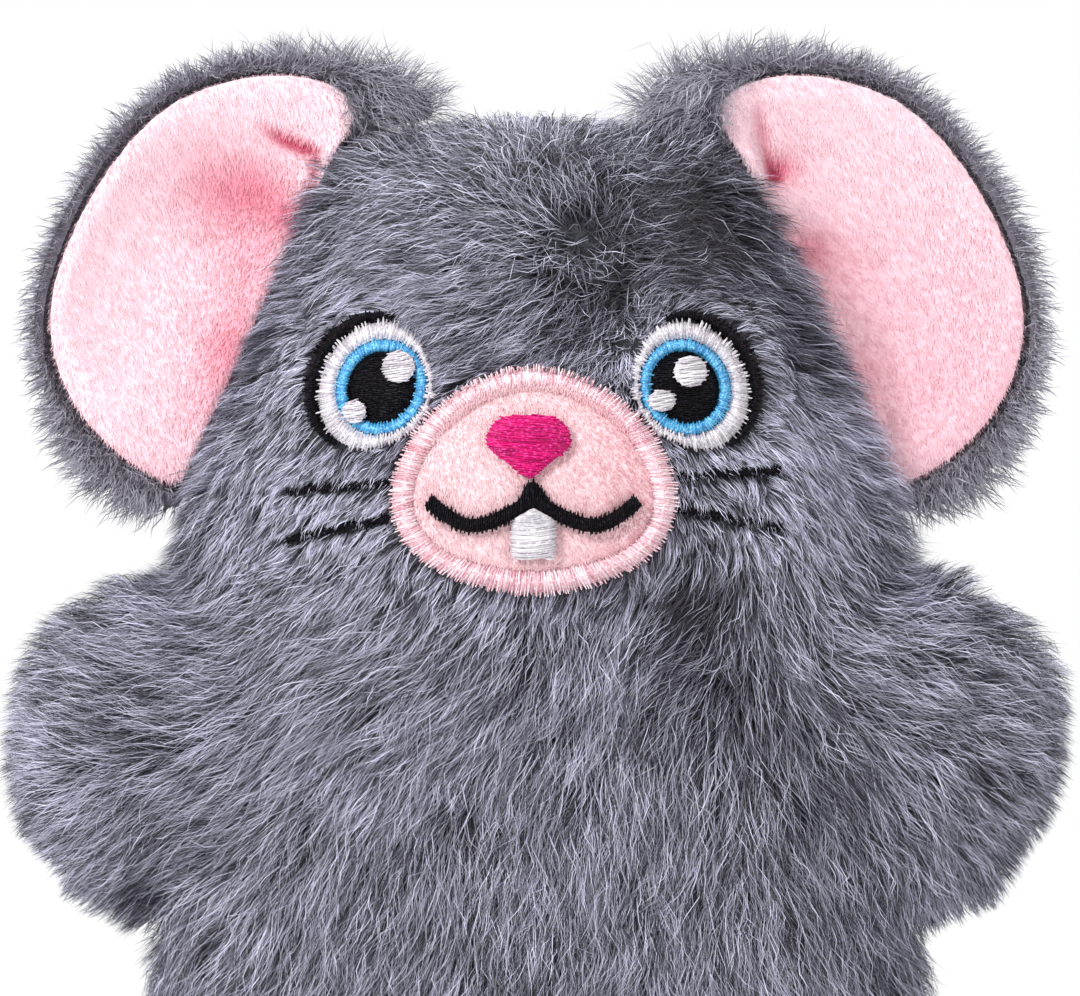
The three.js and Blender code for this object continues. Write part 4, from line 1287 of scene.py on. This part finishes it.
def bricked(spans, length, random):
    """Long rows broken into short stitches."""
    broken = []
    for start, end in spans:
        run = np.linalg.norm(end - start)
        cuts = [0, *np.arange(random.uniform(0.3, 1) * length, run, length), run]
        for low, high in zip(cuts[:-1], cuts[1:]):
            if high - low > shortest_stitch:
                broken.append((mixed(start, end, low / run), mixed(start, end, high / run)))
    return broken


def circle_of(count, v, wide, high):
    """Corners of a face, laid on a small circle of the UV map."""
    turns = np.arange(count) * 2 * math.pi / count
    return [(0.5 + wide * math.cos(t), v + high * math.sin(t)) for t in turns]


def in_tone(tone, corners):
    """Moves corners to the column of a tone in the UV map."""
    low = int(tone * tone_bins) / tone_bins
    return [(low + u / tone_bins, v) for u, v in corners]


def threads(
    name, nodes, spans, material, random,
    radius=thread_radius, dive=stitch_dive, ragged=stitch_raggedness,
    over=stitch_overlap, tilt=0.05 * MM, bow=0.0, lift=0.0,
):
    """Each stitch as a closed, slightly arched thread that dives in at both ends, over an
    underlay in the same colour."""
    tree = tree_of(nodes)
    rings, tones = [], []
    share = np.linspace(0, 1, thread_steps + 1)
    arch = 1 - np.abs(2 * share - 1) ** 3
    turn = 2 * math.pi * (np.arange(thread_sides) + 0.5) / thread_sides
    for index, (start, end) in enumerate(spans):
        way = (end - start) / np.linalg.norm(end - start)
        aside = np.array([-way[1], way[0]])
        slant = 0.07 * MM * (-1) ** index + random.normal(0, tilt)
        start = start - way * (over + random.uniform(-0.2, 1) * ragged) + aside * slant
        end = end + way * (over + random.uniform(-0.2, 1) * ragged) - aside * slant
        flat = mixed(start, end, share[:, None]) + np.outer(4 * share * (1 - share), aside * bow)
        inner = mixed(start, end, np.clip(share, 0.12, 0.88)[:, None])
        depth = np.array([depth_at(tree, place) or np.nan for place in inner])
        if np.isnan(depth).all():
            continue
        depth = np.where(np.isnan(depth), np.nanmean(depth), depth)
        sag = random.uniform(0, 0.06) * MM
        y = depth + (1 - arch) * dive + sag - lift
        middle = np.stack([flat[:, 0], y, flat[:, 1]], 1)
        side = np.array([-way[1], 0, way[0]])
        front = unit(np.cross(unit(np.gradient(middle, axis=0)), side))
        front *= -np.sign(front[:, 1:2])
        thin = radius * (0.55 + 0.45 * arch) * random.uniform(0.88, 1.12)
        rings.append(middle[:, None] + thin[:, None, None] * (
            side * np.cos(turn)[None, :, None] + front[:, None] * np.sin(turn)[None, :, None]
        ))
        tones.append(np.clip(random.normal(0.5, 0.3), 0, 0.999))

    # The faces of one thread, and the place of each of their corners in the UV map
    faces, corners = [], []
    for step in range(thread_steps):
        for index in range(thread_sides):
            following = (index + 1) % thread_sides
            low, high = step * thread_sides, (step + 1) * thread_sides
            faces.append([low + index, low + following, high + following, high + index])
            a, b = index / thread_sides, (index + 1) / thread_sides
            c, d = step / thread_steps, (step + 1) / thread_steps
            round_face = ((a, c), (b, c), (b, d), (a, d))
            corners += [(0.1 + 0.8 * u, 0.01 + 0.98 * v) for u, v in round_face]
    first_ring = np.arange(thread_sides)
    for cap, v in ((first_ring[::-1], 0.02), (first_ring + thread_steps * thread_sides, 0.98)):
        faces.append(cap)
        corners += circle_of(thread_sides, v, 0.3, 0.005)
    all_faces, all_uv = [], []
    for thread, tone in enumerate(tones):
        first = thread * (thread_steps + 1) * thread_sides
        all_faces += [[first + i for i in face] for face in faces]
        all_uv += in_tone(tone, corners)
    points = np.array(rings).reshape(-1, 3)
    for node in nodes:
        form = frame["nodes"][node].data
        for polygon in form.polygons:
            all_faces.append([len(points) + vertex for vertex in polygon.vertices])
            all_uv += in_tone(0.4, circle_of(polygon.loop_total, 0.5, 0.3, 0.1))
        points = np.concatenate([points, points_of(form) + (0, underlay_depth, 0)])
    mesh = bpy.data.meshes.new(name)
    mesh.from_pydata(points.tolist(), [], all_faces)
    layer = mesh.uv_layers.new(name="OFBake")
    layer.data.foreach_set("uv", np.array(all_uv).ravel())
    mesh.shade_smooth()
    piece = new_piece(name, mesh)
    edited(piece, bpy.ops.mesh.normals_make_consistent, inside=False)
    mesh.materials.append(material)
    return piece


def fleck_group():
    """Painted highlights: short pale flecks along a thread, where its two twisted plies catch the
    light.
    """
    group, given = shader_group(
        "Thread flecks", {"Thread": "Color", "Fleck": "Color"}, {"Colour": "Color"}
    )
    uv = outputs_of(group, "UVMap", uv_map="OFBake")["UV"]
    inputs = {0: uv, 1: (1.5 * tone_bins, flecks_each, 0)}
    spread = outputs_of(group, "VectorMath", inputs, operation="MULTIPLY")["Vector"]
    noise = outputs_of(group, "TexNoise", {"Scale": 1, "Detail": 1, "Vector": spread})["Fac"]
    inputs = {"From Min": 0.5, "From Max": 0.66, "To Max": 0.7, "Value": noise}
    lit = outputs_of(group, "MapRange", inputs)["Result"]
    colour = blended(group, lit, given["Thread"], given["Fleck"])
    feed(group, group.nodes.new("NodeGroupOutput"), {"Colour": colour})
    return group


thread_highlight_flecks = fleck_group()


def thread_material(name, dark, pale, highlight_fleck, shine):
    material = fibre_material(
        name, dark, pale, root=dark, root_shade_reach=0.04, roughness=0.36, shine=shine
    )
    tree = material.node_tree
    colour = tree.nodes["Principled BSDF"].inputs["Base Color"]
    inputs = {"Thread": colour.links[0].from_socket, "Fleck": (*highlight_fleck, 1)}
    flecked = outputs_of(tree, "Group", inputs, node_tree=thread_highlight_flecks)["Colour"]
    tree.links.new(flecked, colour)
    return material


# Each thread: its darkest and palest tone, the colour of its painted highlight flecks, and its
# shine
thread_materials = {
    colour: thread_material(
        f"{colour}_thread", srgb(*dark), srgb(*pale), highlight_fleck=srgb(*highlight_fleck), shine=shine
    )
    for colour, dark, pale, highlight_fleck, shine in (
        ("black", (1, 0, 3), (6, 4, 10), (38, 34, 44), 0.06),
        ("white", (172, 164, 174), (228, 223, 229), (244, 241, 245), 0.5),
        ("blue", (8, 116, 182), (90, 188, 232), (160, 222, 246), 0.5),
        ("magenta", (140, 0, 72), (226, 0, 118), (250, 70, 165), 0.2),
        ("rose", (206, 134, 150), (245, 220, 227), (254, 246, 249), 0.8),
    )
}


def stitched_piece(node, spans, colour, seed, **settings):
    random = np.random.default_rng(seed)
    material = thread_materials[colour]
    piece = threads(f"{node}_stitching", [node], spans, material, random, **settings)
    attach(piece, "body")
    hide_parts(node)


# At the top, the pile of the patch stands over the inner ends of the border's stitches
low, high = flat_box("muzzle_border")
border_tree = tree_of(["muzzle_border"])
border_spokes, brim_roots = [], []
for start, end in spokes_across("muzzle_border", (low + high) / 2, 0.2 * MM):
    way = unit(end - start)
    covered = smooth_share((way[1] - 0.2) / 0.5)
    border_spokes.append((start + way * covered * brim_width, end))
    for share in patch_random.uniform(-0.1, 1, int(5 * covered)):
        place = start + way * covered * brim_width * share
        place = place + patch_random.normal(0, 0.07 * MM, 2)
        depth = depth_at(border_tree, place)
        if depth is not None:
            brim_roots.append((place[0], depth, place[1]))
stitched_piece(
    "muzzle_border", border_spokes, "rose", 41,
    radius=0.125 * MM, dive=0.2 * MM, ragged=0.35 * MM, over=0.25 * MM, tilt=0.13 * MM,
)
brim_pile = pile(
    "muzzle_brim_pile", np.array(brim_roots), border_tree, patch_lean, patch_painted_shade,
    patch_fibre, patch_pile_length, patch_random,
)
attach(brim_pile, "body")
nose_rows = bricked(rows_across("nose", -6), 3.6 * MM, np.random.default_rng(42))
stitched_piece("nose", nose_rows, "magenta", 42, dive=row_dive)
stitched_piece("mouth", rows_across("mouth", 84), "black", 43, ragged=0.35 * MM)
stitched_piece("tooth", rows_across("tooth", 4), "white", 44, bow=-0.25 * MM)
for number, side in enumerate(("right", "left")):
    seed = 50 + 10 * number
    low, high = flat_box(f"{side}_eye_iris")
    eye_centre = (low + high) / 2
    for index, (part, colour, ragged) in enumerate((
        ("eye_white", "white", 0.45 * MM), ("eye_iris", "blue", 0.25 * MM),
        ("eye_outline", "black", 0.3 * MM),
    )):
        node = f"{side}_{part}"
        spokes = spokes_across(node, eye_centre, 0.21 * MM)
        stitched_piece(node, spokes, colour, seed + index, ragged=ragged)
    rows = bricked(rows_across(f"{side}_eye_pupil", 0), 1.7 * MM, np.random.default_rng(seed))
    stitched_piece(f"{side}_eye_pupil", rows, "black", seed + 4, dive=row_dive)
    for index, size in enumerate(("large", "small")):
        node = f"{side}_eye_{size}_glint"
        rows = rows_across(node, 8, 0.25 * MM)
        stitched_piece(node, rows, "white", seed + 5 + index, lift=0.15 * MM)
    for index, level in enumerate(("upper", "lower")):
        node = f"{side}_{level}_whisker"
        stitched_piece(node, rows_across(node, 78), "black", seed + 7 + index, ragged=0.3 * MM)

# Tail
# A tube of pink velour, stuffed and sewn shut at both ends, that lies curled on the floor
# behind the mouse. It is sewn on at its round root, so it swings about that.
tail_pile_density = 11 / MM ** 2
tail_lean = (0.3, 0.2, -0.2)
tail_tone = 0.75
tail = joined_copy("tail_velour", ["tail"])
remeshed(tail, 0.9 * MM, 4)
crease_shade_attribute(tail.data, np.zeros(len(tail.data.vertices)))
tail.data.materials.append(ear_cloth)
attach(tail, "tail")
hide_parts("tail")
tail_corners = triangles_of(tail.data)
tail_corners = tail_corners[tail_corners[:, :, 2].min(1) > velour_pile_length]
tail_random = np.random.default_rng(71)
tail_pile = pile(
    "tail_velour_pile", evenly(tail_corners, tail_pile_density, tail_random), surface_of(tail),
    tail_lean, lambda roots: np.full(len(roots), tail_tone), ear_pile, velour_pile_length,
    tail_random,
)
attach(tail_pile, "tail")

# Floor and lights
# A wide pale floor and soft studio lamps: a strong one at the upper left of the camera, a weak
# one at the right and one from above. The camera sees the floor and the background as white.
background_strength = 1.0
background_light = 0.5  # how bright the background is to the objects
floor_colour = (0.86, 0.86, 0.86, 1)
floor_radius = 3
floor_glow = 0.6
toy_middle = Vector((0, 0, 90 * MM))


def camera_share(tree):
    """1 for what the camera sees, straight or in a reflection."""
    rays = outputs_of(tree, "LightPath")
    total = rays["Is Camera Ray"]
    for kind in ("Is Glossy Ray", "Is Transmission Ray"):
        total = outputs_of(tree, "Math", {0: total, 1: rays[kind]}, operation="MAXIMUM")["Value"]
    return total


bpy.ops.mesh.primitive_circle_add(vertices=96, radius=floor_radius, fill_type="NGON")
floor = bpy.context.object
floor.name = "floor"
floor_material, tree, shader = principled("pale_floor", {
    "Base Color": floor_colour, "Roughness": 1, "Specular IOR Level": 0,
    "Emission Color": (1, 1, 1, 1),
})
inputs = {0: camera_share(tree), 1: floor_glow}
glow = outputs_of(tree, "Math", inputs, operation="MULTIPLY")["Value"]
feed(tree, shader, {"Emission Strength": glow})
floor.data.materials.append(floor_material)

world = bpy.data.worlds.new("studio")
bpy.context.scene.world = world
world.use_nodes = True
tree = world.node_tree
inputs = {"Factor": camera_share(tree), "A": background_light, "B": background_strength}
strength = outputs_of(tree, "Mix", inputs)["Result"]
feed(tree, tree.nodes["Background"], {"Color": (1, 1, 1, 1), "Strength": strength})

# Name, place (m), size (m) and power (W)
lamps = (
    ("key_lamp", (-0.7, -0.8, 0.7), 0.3, 11.8),
    ("fill_lamp", (0.7, -0.8, 0.3), 0.6, 2.0),
    ("top_lamp", (0.1, 0.1, 0.9), 0.6, 4.0),
)
for name, place, size, power in lamps:
    bpy.ops.object.light_add(type="AREA", location=place)
    lamp = bpy.context.object
    lamp.name = name
    lamp.data.size = size
    lamp.data.energy = power
    aim = toy_middle - lamp.location
    lamp.rotation_euler = aim.to_track_quat("-Z", "Y").to_euler()
